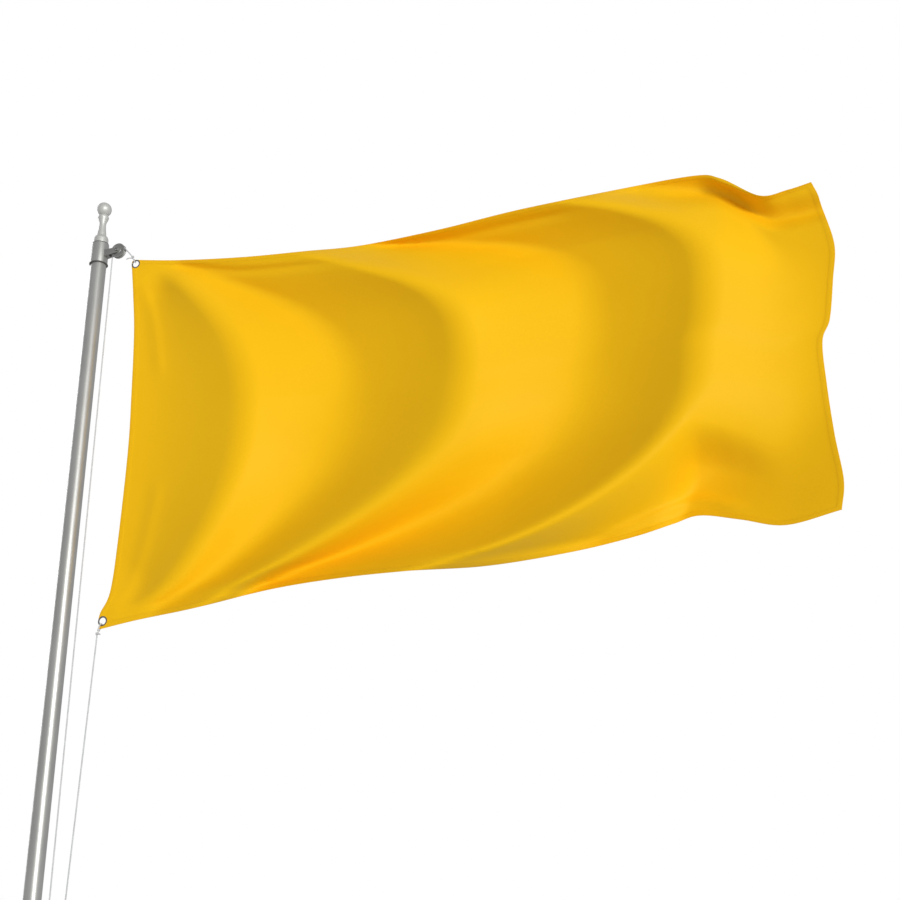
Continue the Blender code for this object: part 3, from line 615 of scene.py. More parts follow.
def make_weave_group() -> bpy.types.NodeTree:
    """Plain weave on UVs in metres: warp and weft threads that pass over each other in turn.

    Returns:
        The group.
    """
    tree, nodes, entry, leave = new_group(
        "plain_weave",
        {"UV": ("Vector", None), "Thread": ("Float", 0.0007)},
        {"Height": "Float", "Shade": "Float"},
    )
    parts = nodes.add("SeparateXYZ", {0: entry.outputs["UV"]})
    half_turns = nodes.maths("DIVIDE", math.pi, entry.outputs["Thread"])
    along = nodes.maths("SINE", nodes.maths("MULTIPLY", parts.outputs[0], half_turns))
    up = nodes.maths("SINE", nodes.maths("MULTIPLY", parts.outputs[1], half_turns))
    height = nodes.maths("MULTIPLY", along, up)
    slub = nodes.add("TexNoise", {"Vector": entry.outputs["UV"], "Scale": 90.0, "Detail": 4.0})
    tree.links.new(nodes.ramp(height, -1, 1), leave.inputs["Height"])
    tree.links.new(nodes.ramp(slub.outputs[0], 0.3, 0.7), leave.inputs["Shade"])
    return tree


def make_stitch_group() -> bpy.types.NodeTree:
    """A row of stitches at a distance from an edge: dashes along one coordinate, thin across the other.

    Returns:
        The group.
    """
    tree, nodes, entry, leave = new_group(
        "stitch_row",
        {
            "Distance": ("Float", 0.0),
            "Along": ("Float", 0.0),
            "Row": ("Float", 0.018),
            "Length": ("Float", 0.0036),
            "Width": ("Float", 0.0011),
        },
        {"Mask": "Float"},
    )
    off = nodes.maths("ABSOLUTE", nodes.maths("SUBTRACT", entry.outputs["Distance"], entry.outputs["Row"]))
    thread = nodes.ramp(nodes.maths("DIVIDE", off, entry.outputs["Width"]), 0.35, 0.6, 1.0, 0.0)
    place = nodes.maths("FRACT", nodes.maths("DIVIDE", entry.outputs["Along"], entry.outputs["Length"]))
    dash = nodes.ramp(nodes.maths("ABSOLUTE", nodes.maths("SUBTRACT", place, 0.5)), 0.30, 0.42, 1.0, 0.0)
    tree.links.new(nodes.maths("MULTIPLY", thread, dash), leave.inputs["Mask"])
    return tree


GRAIN, SCRATCHES = make_grain_group(), make_scratch_group()
WEAVE, STITCHES = make_weave_group(), make_stitch_group()


# ---------------------------------------------------------------- finishes


def new_material(name: str) -> tuple[bpy.types.Material, Nodes, bpy.types.Node]:
    """A material with its helper and its Principled shader."""
    material = bpy.data.materials.new(name)
    material.use_nodes = True
    return material, Nodes(material.node_tree), material.node_tree.nodes["Principled BSDF"]


@dataclass(frozen=True)
class MetalFinish:
    """A metal, paint or rubber surface with grain, stains and scratches."""

    name: str
    colour: Colour
    stained: Colour
    metallic: float
    roughness: tuple[float, float]
    grain: Point = (900.0, 900.0, 900.0)
    stain_scale: float = 4.0
    bump: float = 0.15
    bump_depth: float = 0.0004
    scratches: float = 0.5
    specular: float = 0.5

    def make(self) -> bpy.types.Material:
        """Build the material.

        Returns:
            The material, whose colour turns to the stained one by the stain, whose roughness follows the
            grain and drops on the scratches, and whose bump is the grain less the scratches.
        """
        material, nodes, shader = new_material(self.name)
        place = nodes.add("TexCoord").outputs["Object"]
        grain = nodes.add("Group", node_tree=GRAIN)
        scratches = nodes.add("Group", node_tree=SCRATCHES)
        for group in (grain, scratches):
            material.node_tree.links.new(place, group.inputs["Vector"])
        grain.inputs["Scale"].default_value = self.grain
        grain.inputs["Stain Scale"].default_value = self.stain_scale
        worn = nodes.maths("MULTIPLY", scratches.outputs["Mask"], self.scratches)
        mixed = nodes.blend(grain.outputs["Stain"], self.colour, self.stained)
        bright = tuple(min(1.0, 1.25 * c) for c in self.colour)
        colour = nodes.blend(nodes.maths("MULTIPLY", worn, 0.5), mixed, bright)
        rough = nodes.ramp(grain.outputs["Grain"], 0.2, 0.8, *self.roughness)
        height = nodes.maths("SUBTRACT", grain.outputs["Grain"], nodes.maths("MULTIPLY", worn, 0.6))
        bump = nodes.add("Bump", {"Strength": self.bump, "Distance": self.bump_depth, "Height": height})
        polished = nodes.maths("SUBTRACT", rough, nodes.maths("MULTIPLY", worn, 0.1))
        links = material.node_tree.links
        links.new(colour, shader.inputs["Base Color"])
        links.new(polished, shader.inputs["Roughness"])
        links.new(bump.outputs[0], shader.inputs["Normal"])
        shader.inputs["Metallic"].default_value = self.metallic
        shader.inputs["Specular IOR Level"].default_value = self.specular
        return material


@dataclass(frozen=True)
class RopeFinish:
    """Braided polyester cord: pale filaments along each plait, and painted shade in the grooves between the
    plaits, heavier in patches.
    """

    name: str = "halyard_braid"
    colour: Colour = (0.72, 0.73, 0.75)
    # colour of the painted shade in the grooves between the plaits
    painted_plait_shade: Colour = (0.40, 0.40, 0.39)

    def make(self) -> bpy.types.Material:
        """Build the material.

        Returns:
            The material, whose plaits are sines of the turn round the rope plus and minus the length.
        """
        material, nodes, shader = new_material(self.name)
        parts = nodes.add("SeparateXYZ", {0: nodes.add("TexCoord").outputs["UV"]})
        turn = nodes.maths("MULTIPLY", parts.outputs[0], math.pi * PLAITS)
        lay = nodes.maths("MULTIPLY", parts.outputs[1], math.pi / PLAIT_PITCH)
        left = nodes.maths("ABSOLUTE", nodes.maths("SINE", nodes.maths("ADD", turn, lay)))
        right = nodes.maths("ABSOLUTE", nodes.maths("SINE", nodes.maths("SUBTRACT", turn, lay)))
        crown = nodes.maths("MAXIMUM", left, right)
        fibres = nodes.maths("SINE", nodes.maths("MULTIPLY", nodes.maths("ADD", turn, lay), 5.0))
        place = nodes.add("TexCoord").outputs["Object"]
        stain = nodes.add("TexNoise", {"Vector": place, "Scale": 30.0, "Detail": 4.0})
        # painted shade: the grooves between the plaits are darkened, everywhere a little and more in patches
        # set by a noise
        between_plaits = nodes.ramp(crown, 0.72, 0.98, 1.0, 0.0)
        painted_plait_shade = nodes.maths("MULTIPLY", between_plaits, nodes.ramp(stain.outputs[0], 0.2, 0.6, 0.35, 1.0))
        height = nodes.maths("ADD", crown, nodes.maths("MULTIPLY", fibres, 0.08))
        bump = nodes.add("Bump", {"Strength": 0.5, "Distance": 0.0006, "Height": height})
        links = material.node_tree.links
        links.new(nodes.blend(painted_plait_shade, self.colour, self.painted_plait_shade), shader.inputs["Base Color"])
        links.new(nodes.ramp(crown, 0.7, 1.0, 0.85, 0.62), shader.inputs["Roughness"])
        links.new(bump.outputs[0], shader.inputs["Normal"])
        shader.inputs["Sheen Weight"].default_value = 0.3
        return material


@dataclass(frozen=True)
class ClothFinish:
    """Woven flag polyester on UVs in metres, with a hem that is stitched all round."""

    name: str = "flag_cloth"
    colour: Colour = (0.95, 0.535, 0.005)
    shaded: Colour = (0.90, 0.500, 0.003)
    thread: Colour = (0.80, 0.42, 0.01)
    hem_rows: tuple[float, ...] = (0.003, 0.018)
    weave: float = 0.0007

    def make(self, length: float, height: float) -> bpy.types.Material:
        """Build the material.

        Args:
            length: The flag's flat length along the first UV coordinate.
            height: The flag's flat height along the second UV coordinate.

        Returns:
            The material, in which stitch rows follow the distance to the nearest edge in each direction.
        """
        material, nodes, shader = new_material(self.name)
        links = material.node_tree.links
        uv = nodes.add("TexCoord").outputs["UV"]
        parts = nodes.add("SeparateXYZ", {0: uv})
        along, up = parts.outputs[0], parts.outputs[1]
        from_ends = nodes.maths("MINIMUM", along, nodes.maths("SUBTRACT", length, along))
        from_sides = nodes.maths("MINIMUM", up, nodes.maths("SUBTRACT", height, up))
        seams = None
        for row in self.hem_rows:
            for distance, run in ((from_ends, up), (from_sides, along)):
                stitch = nodes.add("Group", node_tree=STITCHES)
                links.new(distance, stitch.inputs["Distance"])
                links.new(run, stitch.inputs["Along"])
                stitch.inputs["Row"].default_value = row
                mask = stitch.outputs[0]
                seams = mask if seams is None else nodes.maths("MAXIMUM", seams, mask)
        weave = nodes.add("Group", node_tree=WEAVE)
        links.new(uv, weave.inputs["UV"])
        weave.inputs["Thread"].default_value = self.weave
        broad = nodes.add("TexNoise", {"Vector": uv, "Scale": 2.5, "Detail": 3.0})
        uneven = nodes.maths("MULTIPLY", nodes.ramp(broad.outputs[0], 0.3, 0.7), 0.5)
        slubs = nodes.maths("MULTIPLY", weave.outputs["Shade"], 0.4)
        base = nodes.blend(nodes.maths("MAXIMUM", uneven, slubs), self.colour, self.shaded)
        hem = nodes.ramp(nodes.maths("MINIMUM", from_ends, from_sides), HEM - 0.0005, HEM + 0.0005, 0.12, 0.0)
        hemmed = nodes.blend(hem, base, self.thread)
        sewn = nodes.blend(nodes.maths("MULTIPLY", seams, 0.5), hemmed, self.thread)
        links.new(sewn, shader.inputs["Base Color"])
        height_sum = nodes.maths("ADD", nodes.maths("MULTIPLY", weave.outputs["Height"], 0.25), seams)
        bump = nodes.add("Bump", {"Strength": 0.35, "Distance": 0.0005, "Height": height_sum})
        links.new(bump.outputs[0], shader.inputs["Normal"])
        links.new(nodes.ramp(weave.outputs["Height"], 0.0, 1.0, 0.62, 0.48), shader.inputs["Roughness"])
        shader.inputs["Specular IOR Level"].default_value = 0.12
        shader.inputs["Sheen Weight"].default_value = 0.02
        shader.inputs["Sheen Roughness"].default_value = 0.4
        shader.inputs["Sheen Tint"].default_value = (1.0, 0.85, 0.45, 1.0)
        return material


FINISHES = {
    Slot.SATIN: MetalFinish(
        "anodised_aluminium", (0.50, 0.50, 0.485), (0.44, 0.44, 0.425), 0.75, (0.36, 0.48),
        grain=(700.0, 700.0, 6.0), bump=0.10,
    ),
    Slot.CAST: MetalFinish(
        "cast_aluminium", (0.36, 0.36, 0.35), (0.29, 0.29, 0.28), 0.70, (0.42, 0.60),
        bump=0.30, bump_depth=0.0005,
    ),
    Slot.ZINC: MetalFinish(
        "hot_dip_zinc", (0.52, 0.54, 0.56), (0.36, 0.38, 0.40), 0.80, (0.40, 0.66),
        grain=(160.0, 160.0, 160.0), stain_scale=22.0, bump=0.25, bump_depth=0.0006,
    ),
    Slot.STAINLESS: MetalFinish(
        "stainless_steel", (0.42, 0.42, 0.42), (0.34, 0.34, 0.33), 1.0, (0.20, 0.34), bump=0.08,
    ),
    Slot.EYELET: MetalFinish(
        "eyelet_steel", (0.28, 0.28, 0.29), (0.18, 0.17, 0.16), 1.0, (0.26, 0.42), bump=0.12,
    ),
    Slot.RUBBER: MetalFinish(
        "black_rubber", (0.075, 0.075, 0.075), (0.110, 0.108, 0.105), 0.0, (0.55, 0.75),
        bump=0.25, scratches=0.2,
    ),
    Slot.BRONZE: MetalFinish(
        "bearing_bronze", (0.45, 0.29, 0.12), (0.30, 0.18, 0.07), 1.0, (0.28, 0.45),
    ),
}


class Wardrobe:
    """Every material, made once."""

    def __init__(self) -> None:
        """Make the metals and the rope."""
        self.materials = {slot: finish.make() for slot, finish in FINISHES.items()}
        self.materials[Slot.ROPE] = RopeFinish().make()
        finial = MetalFinish(
            "finial_satin", (0.60, 0.60, 0.58), (0.54, 0.54, 0.52), 0.45, (0.42, 0.54), bump=0.10,
        )
        self.finial = finial.make()

    def fit(self, obj: bpy.types.Object, body: Body, slot: Slot, *nodes: str) -> bpy.types.Object:
        """Dress a piece in its slot's own material, and put it on its body in place of its CAD nodes."""
        return belongs(obj, body, slot, self[slot], *nodes)

    def __getitem__(self, slot: Slot) -> bpy.types.Material:
        """The material of a slot."""
        return self.materials[slot]

    def dress(self, slot: Slot, *nodes: str) -> None:
        """Give CAD nodes that keep their own shape a slot's material."""
        for node in nodes:
            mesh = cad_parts[node].data
            mesh.materials.clear()
            mesh.materials.append(self[slot])


# ---------------------------------------------------------------- base and pole


@dataclass
class SocketScrew:
    """A screw with a hexagon socket, its axis along the pole's radius."""

    node: str
    angle: float
    head_profile: tuple[tuple[float, float], ...]
    socket_radius: float
    socket_depth: float
    edge: float = 0.0006
    mouth: float = 0.0003

    def make(self, wardrobe: Wardrobe) -> None:
        """Turn the screw, sink its socket, and swing it to its place round the pole.

        Args:
            wardrobe: The materials.
        """
        outside = rounded(list(self.head_profile), self.edge)
        face = outside[-1, 1]
        socket = np.array(
            [
                (self.socket_radius * 1.12, face),
                (self.socket_radius, face - self.mouth),
                (self.socket_radius, face - self.socket_depth),
                (self.socket_radius * 0.4, face - self.socket_depth),
            ]
        )
        profile = np.concatenate([outside, socket])
        height = Box.of(self.node).centre[2]
        piece = Turned(
            f"{self.node}_shape", profile, axis=Axis.X, sides=48,
            hexagon_from=len(outside) + 1, hexagon_to=len(profile),
        ).make()
        turn_about_z(piece, self.angle, height)
        wardrobe.fit(piece, Body.POLE, Slot.STAINLESS, self.node)


def set_screw_outline(radius: float, bevel: float, tip: float, inner: float, outer: float) -> tuple:
    """A headless screw from its tip at inner to its face at outer, as (radius, distance from the axis)."""
    return ((tip, inner), (radius, inner), (radius, outer), (radius - bevel, outer))


def turn_about_z(obj: bpy.types.Object, angle: float, height: float) -> None:
    """Turn a mesh's points about Z and lift them."""
    points = np.zeros(len(obj.data.vertices) * 3, dtype=np.float32)
    obj.data.vertices.foreach_get("co", points)
    x, y, z = points.reshape(-1, 3).T
    c, s = math.cos(angle), math.sin(angle)
    moved = np.stack([c * x - s * y, s * x + c * y, z + height], axis=-1)
    obj.data.vertices.foreach_set("co", moved.astype(np.float32).ravel())
    obj.data.update()


@dataclass
class Base:
    """The base plate, its socket tube and gussets, and the two set screws."""

    edge: float = 0.0016
    screw_radius: float = 0.0048
    screw_length: float = 0.0098
    socket: Box = field(default_factory=lambda: Box.of("base_socket"))
    pole: Box = field(default_factory=lambda: Box.of("pole_lower_section"))

    def make(self, wardrobe: Wardrobe) -> None:
        """Build and dress the base's pieces."""
        for node in ("base_plate", *(f"base_gusset_{k}" for k in range(1, 5))):
            wardrobe.fit(softened(node, self.edge), Body.POLE, Slot.ZINC, node)
        outer = self.socket.size[0] / 2
        inner = self.pole.size[0] / 2 + GAP
        low, high = self.socket.low[2], self.socket.high[2]
        tube = Turned("base_socket_shape", tube_section(inner, outer, low, high, self.edge), ring=True)
        wardrobe.fit(tube.make(), Body.POLE, Slot.ZINC, "base_socket")
        outline = set_screw_outline(self.screw_radius, 0.0008, 0.0005, inner, inner + self.screw_length)
        for node in ("socket_set_screw_1", "socket_set_screw_2"):
            screw = SocketScrew(node, math.radians(45), outline, socket_radius=0.0026, socket_depth=0.0045)
            screw.make(wardrobe)


@dataclass
class Pole:
    """Two drawn tubes joined over an inner spigot by four button-head screws."""

    wall: float = 0.0025
    edge: float = 0.0005
    screw_radius: float = 0.0029
    screw_reach: float = 0.006
    button_head: tuple[tuple[float, float], ...] = (
        (0.0057, GAP), (0.0052, 0.0022), (0.0036, 0.0035), (0.0024, 0.0036),
    )

    def make(self, wardrobe: Wardrobe) -> None:
        """Build and dress the pole's pieces."""
        for node in ("pole_lower_section", "pole_upper_section"):
            box = Box.of(node)
            outer = box.size[0] / 2
            section = tube_section(outer - self.wall, outer, box.low[2], box.high[2], self.edge)
            tube = Turned(f"{node}_shape", section, sides=128, ring=True).make()
            wardrobe.fit(tube, Body.POLE, Slot.SATIN, node)
        wardrobe.dress(Slot.SATIN, "joint_spigot")
        outer = Box.of("pole_upper_section").size[0] / 2
        tip = outer - self.screw_reach
        button = [(radius, outer + height) for radius, height in self.button_head]
        head = ((0.0005, tip), (self.screw_radius, tip), (self.screw_radius, outer + GAP), *button)
        for number in range(1, 5):
            node = f"joint_screw_{number}"
            angle = math.radians(90 if Box.of(node).centre[1] > 0 else 270)
            SocketScrew(node, angle, head, socket_radius=0.0016, socket_depth=0.0015).make(wardrobe)


@dataclass
class Cleat:
    """The horn cleat and its two screws."""

    edge: float = 0.0038

    def make(self, wardrobe: Wardrobe) -> None:
        """Build and dress the cleat's pieces."""
        cleat = softened("cleat", self.edge, segments=5)
        wardrobe.fit(cleat, Body.POLE, Slot.CAST, "cleat")
        for number in (1, 2):
            node = f"cleat_screw_{number}"
            wardrobe.fit(softened(node, 0.0004), Body.POLE, Slot.STAINLESS, node)


# ---------------------------------------------------------------- truck, pulley and finial


@dataclass
class Truck:
    """The collar on the pole's top, its seal ring and set screws, and the forked pulley bracket."""

    edge: float = 0.0011
    bracket_edge: float = 0.0013
    screw_stands_out: float = 0.0009
    collar: Box = field(default_factory=lambda: Box.of("truck_collar"))
    pole: Box = field(default_factory=lambda: Box.of("pole_upper_section"))
    spindle: Box = field(default_factory=lambda: Box.of("finial_spindle"))

    def make(self, wardrobe: Wardrobe) -> None:
        """Build and dress the truck's pieces."""
        bore = self.spindle.size[0] / 2 + GAP
        inner, outer = self.pole.size[0] / 2 + GAP, self.collar.size[0] / 2
        low, cap, top = self.collar.low[2], self.pole.high[2] + GAP, self.collar.high[2]
        section = [(bore, cap), (inner, cap), (inner, low), (outer, low), (outer, top), (bore, top)]
        profile = rounded(section, self.edge, steps=5, closed=True)
        collar = Turned("truck_collar_shape", profile, sides=128, ring=True).make()
        wardrobe.fit(collar, Body.POLE, Slot.SATIN, "truck_collar")
        ring = Box.of("truck_seal_ring")
        section = tube_section(inner, ring.size[0] / 2, ring.low[2], ring.high[2], 0.0016)
        seal = Turned("truck_seal_ring_shape", section, ring=True).make()
        wardrobe.fit(seal, Body.POLE, Slot.RUBBER, "truck_seal_ring")
        outline = set_screw_outline(0.0029, 0.0007, 0.0004, inner, outer + self.screw_stands_out)
        for node, angle in (("truck_set_screw_1", 90), ("truck_set_screw_2", 180)):
            screw = SocketScrew(node, math.radians(angle), outline, socket_radius=0.0014, socket_depth=0.0022)
            screw.make(wardrobe)
        bracket = softened("pulley_bracket", self.bracket_edge, segments=4)
        wardrobe.fit(bracket, Body.POLE, Slot.CAST, "pulley_bracket")


@dataclass
class Pulley:
    """The grooved sheave, its bush and washers, and the axle bolt with its nut."""

    groove_half: float = 0.0026
    hub: float = 0.004
    rim: float = 0.0065
    slant: float = 0.0025
    recess: float = 0.0022
    bush_wall: float = 0.002
    bolt_head: float = 0.0045
    socket_radius: float = 0.0026
    socket_depth: float = 0.0022
    sheave: Box = field(default_factory=lambda: Box.of("sheave"))

    def make(self, wardrobe: Wardrobe) -> None:
        """Build and dress the pulley's pieces."""
        centre = tuple(self.sheave.centre)
        half, radius = self.sheave.size[1] / 2, self.sheave.size[0] / 2
        bush = Box.of("sheave_bush").size[0] / 2
        floor = radius - GROOVE_DEPTH
        dip = np.linspace(-math.pi / 2, math.pi / 2, 9)
        groove = [(floor + self.groove_half * (1 - math.cos(a)), self.groove_half * math.sin(a)) for a in dip]
        lower = [
            (bush + GAP, -half),
            (bush + self.hub, -half),
            (bush + self.hub + self.slant, -half + self.recess),
            (radius - self.rim - self.slant, -half + self.recess),
            (radius - self.rim, -half),
            (radius, -half),
            (radius, -half + self.groove_half),
        ]
        upper = [(reach, -side) for reach, side in reversed(lower)]
        section = [*lower, *groove, *upper]
        profile = rounded(section, 0.0008, steps=3, closed=True)
        wheel = Turned("sheave_shape", profile, centre, Axis.Y, 128, ring=True).make()
        wardrobe.fit(wheel, Body.SHEAVE, Slot.CAST, "sheave")
        wardrobe.dress(Slot.BRONZE, "sheave_bush")
        pin = bush - self.bush_wall
        for number in (1, 2):
            washer = Box.of(f"sheave_washer_{number}")
            low, high = washer.low[1] - centre[1], washer.high[1] - centre[1]
            section = tube_section(pin + GAP, washer.size[0] / 2, low, high, 0.0004)
            piece = Turned(f"sheave_washer_{number}_shape", section, centre, Axis.Y, 64, ring=True).make()
            wardrobe.fit(piece, Body.POLE, Slot.STAINLESS, f"sheave_washer_{number}")
        self.make_axle(wardrobe, centre, pin)

    def make_axle(self, wardrobe: Wardrobe, centre: Point, pin: float) -> None:
        """Build the bolt with a socket in its head, and its chamfered hexagon nut.

        Args:
            wardrobe: The materials.
            centre: A point on the axle.
            pin: Radius of the bolt's shank.
        """
        axle, nut = Box.of("sheave_axle"), Box.of("axle_nut")
        head = axle.size[0] / 2
        low, high = axle.low[1] - centre[1], axle.high[1] - centre[1]
        under = low + self.bolt_head
        socket = [(self.socket_radius, low + self.socket_depth), (self.socket_radius, low)]
        outside = [*socket, (head * 0.85, low), (head, low + 0.0016), (head, under)]
        shank = [(pin, under), (pin, high - 0.0010), (pin - 0.0008, high)]
        profile = np.concatenate([rounded(outside, 0.0005)[:2], rounded([*outside[1:], *shank], 0.0004)])
        bolt = Turned("sheave_axle_shape", profile, centre, Axis.Y, 64, hexagon_from=0, hexagon_to=2).make()
        wardrobe.fit(bolt, Body.POLE, Slot.STAINLESS, "sheave_axle")
        flat = min(nut.size[0], nut.size[2]) / 2
        near, far = nut.low[1] - centre[1], nut.high[1] - centre[1]
        section = np.array(
            [
                (pin + GAP, near),
                (flat * 0.96, near),
                (flat, near + 0.0006),
                (flat, far - 0.0008),
                (flat * 0.93, far),
                (pin + GAP, far),
            ]
        )
        piece = Turned(
            "axle_nut_shape", section, centre, Axis.Y, 72, ring=True,
            hexagon_from=1, hexagon_to=4, turn=math.pi / 6,
        ).make()
        wardrobe.fit(piece, Body.POLE, Slot.STAINLESS, "axle_nut")


@dataclass
class Finial:
    """The gasket, turned base, baluster stem and ball on their spindle.

    The base's cove has points (in from the rim, down from the top), and the stem's waist has points (share
    of the height, share of the widest radius).
    """

    cove: tuple[tuple[float, float], ...] = ((0.0, 0.014), (0.0030, 0.0060), (0.0080, 0.0))
    waist: tuple[tuple[float, float], ...] = (
        (0.0, 0.857), (0.12, 0.81), (0.32, 0.69), (0.50, 0.62), (0.66, 0.69),
        (0.84, 0.976), (0.90, 1.0), (0.96, 0.905), (1.0, 0.833),
    )
    spindle: Box = field(default_factory=lambda: Box.of("finial_spindle"))
    gasket: Box = field(default_factory=lambda: Box.of("finial_gasket"))
    base: Box = field(default_factory=lambda: Box.of("finial_base"))
    stem: Box = field(default_factory=lambda: Box.of("finial_stem"))
    ball: Box = field(default_factory=lambda: Box.of("finial_ball"))

    def make(self, wardrobe: Wardrobe) -> None:
        """Build and dress the finial's pieces."""
        bore = self.spindle.size[0] / 2 + GAP
        section = tube_section(bore, self.gasket.size[0] / 2, self.gasket.low[2], self.gasket.high[2], 0.0014)
        gasket = Turned("finial_gasket_shape", section, ring=True).make()
        wardrobe.fit(gasket, Body.POLE, Slot.RUBBER, "finial_gasket")
        self.make_base(wardrobe, bore)
        self.make_stem(wardrobe, bore)
        self.make_ball(wardrobe, bore)
        wardrobe.dress(Slot.STAINLESS, "finial_spindle", "spindle_nut")

    def make_base(self, wardrobe: Wardrobe, bore: float) -> None:
        """A disc whose upper edge is a soft cove."""
        radius, low, high = self.base.size[0] / 2, self.base.low[2], self.base.high[2]
        cove = [(radius - inset, high - drop) for inset, drop in self.cove]
        profile = rounded([(bore, low), (radius, low), *cove, (bore, high)], 0.0022, steps=5, closed=True)
        piece = Turned("finial_base_shape", profile, ring=True).make()
        belongs(piece, Body.POLE, Slot.SATIN, wardrobe.finial, "finial_base")

    def make_stem(self, wardrobe: Wardrobe, bore: float) -> None:
        """A waisted stem that swells to a bead below the ball."""
        low, high = self.stem.low[2], self.stem.high[2]
        rise = high - low
        widest = self.stem.size[0] / 2
        outline = smooth_line([(share * widest, low + up * rise) for up, share in self.waist], 40)
        section = np.concatenate([[(bore, low)], outline, [(bore, high)]])
        piece = Turned("finial_stem_shape", section, ring=True).make()
        belongs(piece, Body.POLE, Slot.SATIN, wardrobe.finial, "finial_stem")

    def make_ball(self, wardrobe: Wardrobe, bore: float) -> None:
        """A ball with a flat seat, and a blind hole that the spindle's end sits in."""
        radius = self.ball.size[0] / 2
        middle, flat = self.ball.high[2] - radius, self.ball.low[2]
        angle = np.linspace(math.acos((middle - flat) / radius), math.pi, 49)[:-1]
        shell = np.stack([radius * np.sin(angle), middle - radius * np.cos(angle)], axis=-1)
        inside = [(0.0004, middle + GAP), (bore, middle + GAP), (bore, flat)]
        profile = np.concatenate([inside, shell, [(0.0004, middle + radius)]])
        piece = Turned("finial_ball_shape", profile).make()
        belongs(piece, Body.POLE, Slot.SATIN, wardrobe.finial, "finial_ball")


# ---------------------------------------------------------------- halyard


@dataclass
class Halyard:
    """One rope: hitched on the cleat, up the pole and over the sheave, knotted at both flag corners."""

    radius: float = 0.0025
    hitch_start: float = 1.25 * math.pi
    hitch_end: float = 3.75 * math.pi
    hitch_reach_z: float = 0.040
    hitch_reach_y: float = 0.016
    hitch_pitch: float = 0.0106
    hitch_swing_x: float = 0.0153
    hitch_mean_x: float = 0.0272
    knot_half: float = 0.0070
    tightened: float = 0.94
    tie_clearance: float = 0.0010
    tie_stand_off: float = 0.0012
    sheave: Box = field(default_factory=lambda: Box.of("sheave"))
    cleat: Box = field(default_factory=lambda: Box.of("cleat"))
    pole: Box = field(default_factory=lambda: Box.of("pole_lower_section"))
    top_knot: Box = field(default_factory=lambda: Box.of("top_knot"))
    bottom_knot: Box = field(default_factory=lambda: Box.of("bottom_knot"))

    def hitch_point(self, turn: Array | float) -> Array:
        """A point of the figure-eight, which crosses over the cleat's middle and dips under its horns."""
        climb = self.hitch_pitch * (turn - self.hitch_start) / (2 * math.pi)
        x = self.pole.size[0] / 2 + self.hitch_mean_x + climb + self.hitch_swing_x * np.cos(2 * turn)
        y = self.hitch_reach_y * np.sin(2 * turn)
        return np.stack([x, y, self.cleat.centre[2] + self.hitch_reach_z * np.sin(turn)], axis=-1)

    @property
    def line_radius(self) -> float:
        """Distance from the axle to the middle of the rope in the groove."""
        return self.sheave.size[0] / 2 - GROOVE_DEPTH + GAP + self.radius

    def lead_direction(self) -> Array:
        """Unit direction from the sheave to the top knot, along the tangent to the rope's circle."""
        reach = self.top_knot.centre - self.sheave.centre
        distance = math.hypot(reach[0], reach[2])
        bearing = math.atan2(reach[2], reach[0]) - math.asin(self.line_radius / distance)
        return np.array((math.cos(bearing), 0.0, math.sin(bearing)))

    def lead_start(self) -> Array:
        """Where the rope leaves the sheave for the flag."""
        along = self.lead_direction()
        return self.sheave.centre + np.array((-along[2], 0.0, along[0])) * self.line_radius

    def run_line(self) -> Array:
        """From the hitch up the pole and over the sheave."""
        start = self.hitch_point(self.hitch_start)
        axle = self.sheave.centre
        side = axle - np.array((self.line_radius, 0.0, 0.0))
        entry = start + np.array(
            [
                (0, 0, 0), (0.0022, 0.0002, 0.0024), (0.0034, 0.0020, 0.014),
                (0.0020, 0.0064, 0.042), (0.0015, 0.0066, 0.075), (0.0010, 0.0060, 0.130),
            ]
        )
        share = np.array((0.08, 0.25, 0.50, 0.75, 0.92))[:, None]
        climb = smooth_line([*entry, *(entry[-1] + (side - entry[-1]) * share), side], 40)
        last = self.lead_start() - axle
        angle = np.linspace(math.pi, math.atan2(last[2], last[0]), 12)[1:]
        circle = np.stack([np.cos(angle), np.zeros_like(angle), np.sin(angle)], axis=-1)
        over = axle + self.line_radius * circle
        return np.concatenate([climb, over])

    def lead_line(self) -> Array:
        """From the sheave to the top knot."""
        along = self.lead_direction()
        start = self.lead_start() + along * GAP
        end = self.top_knot.centre - along * (self.knot_half + GAP)
        return start + (end - start) * np.linspace(0, 1, 7)[:, None]

    def fall_line(self) -> Array:
        """From the cleat up to the bottom knot."""
        end = self.hitch_point(self.hitch_end)
        top = self.bottom_knot.centre - np.array((0, 0, self.knot_half + GAP))
        exits = end + np.array(
            [
                (0, 0, 0), (0.0030, -0.0001, 0.0032), (0.0055, -0.0020, 0.012),
                (0.0075, -0.0045, 0.032), (0.0095, -0.0045, 0.075), (0.0105, -0.0020, 0.140),
            ]
        )
        share = np.array((0.10, 0.30, 0.55, 0.80))[:, None]
        return smooth_line([*exits, *(exits[-1] + (top - exits[-1]) * share), top], 44)

    def make(self, wardrobe: Wardrobe) -> None:
        self.make_run(wardrobe)
        self.make_moving_ends(wardrobe)
        self.make_knot(wardrobe, "top_knot", self.top_knot, (-0.026, -0.004, -0.008))
        self.make_knot(wardrobe, "bottom_knot", self.bottom_knot, (0.017, -0.005, -0.006))
        for corner in HOIST_CORNERS:
            self.make_tie(wardrobe, corner)

    def make_run(self, wardrobe: Wardrobe) -> None:
        """The stretches that stay with the pole: the run and the hitch."""
        run_line = self.run_line()
        run = BraidedRope("halyard_run_rope", run_line, self.radius, sides=14).make()
        wardrobe.fit(run, Body.POLE, Slot.ROPE, "halyard_run")
        turns = np.linspace(self.hitch_start + 0.02, self.hitch_end - 0.02, 56)
        hitch = BraidedRope("halyard_hitch_rope", self.hitch_point(turns), self.radius, step=0.0015).make()
        wardrobe.fit(hitch, Body.POLE, Slot.ROPE, "halyard_hitch")

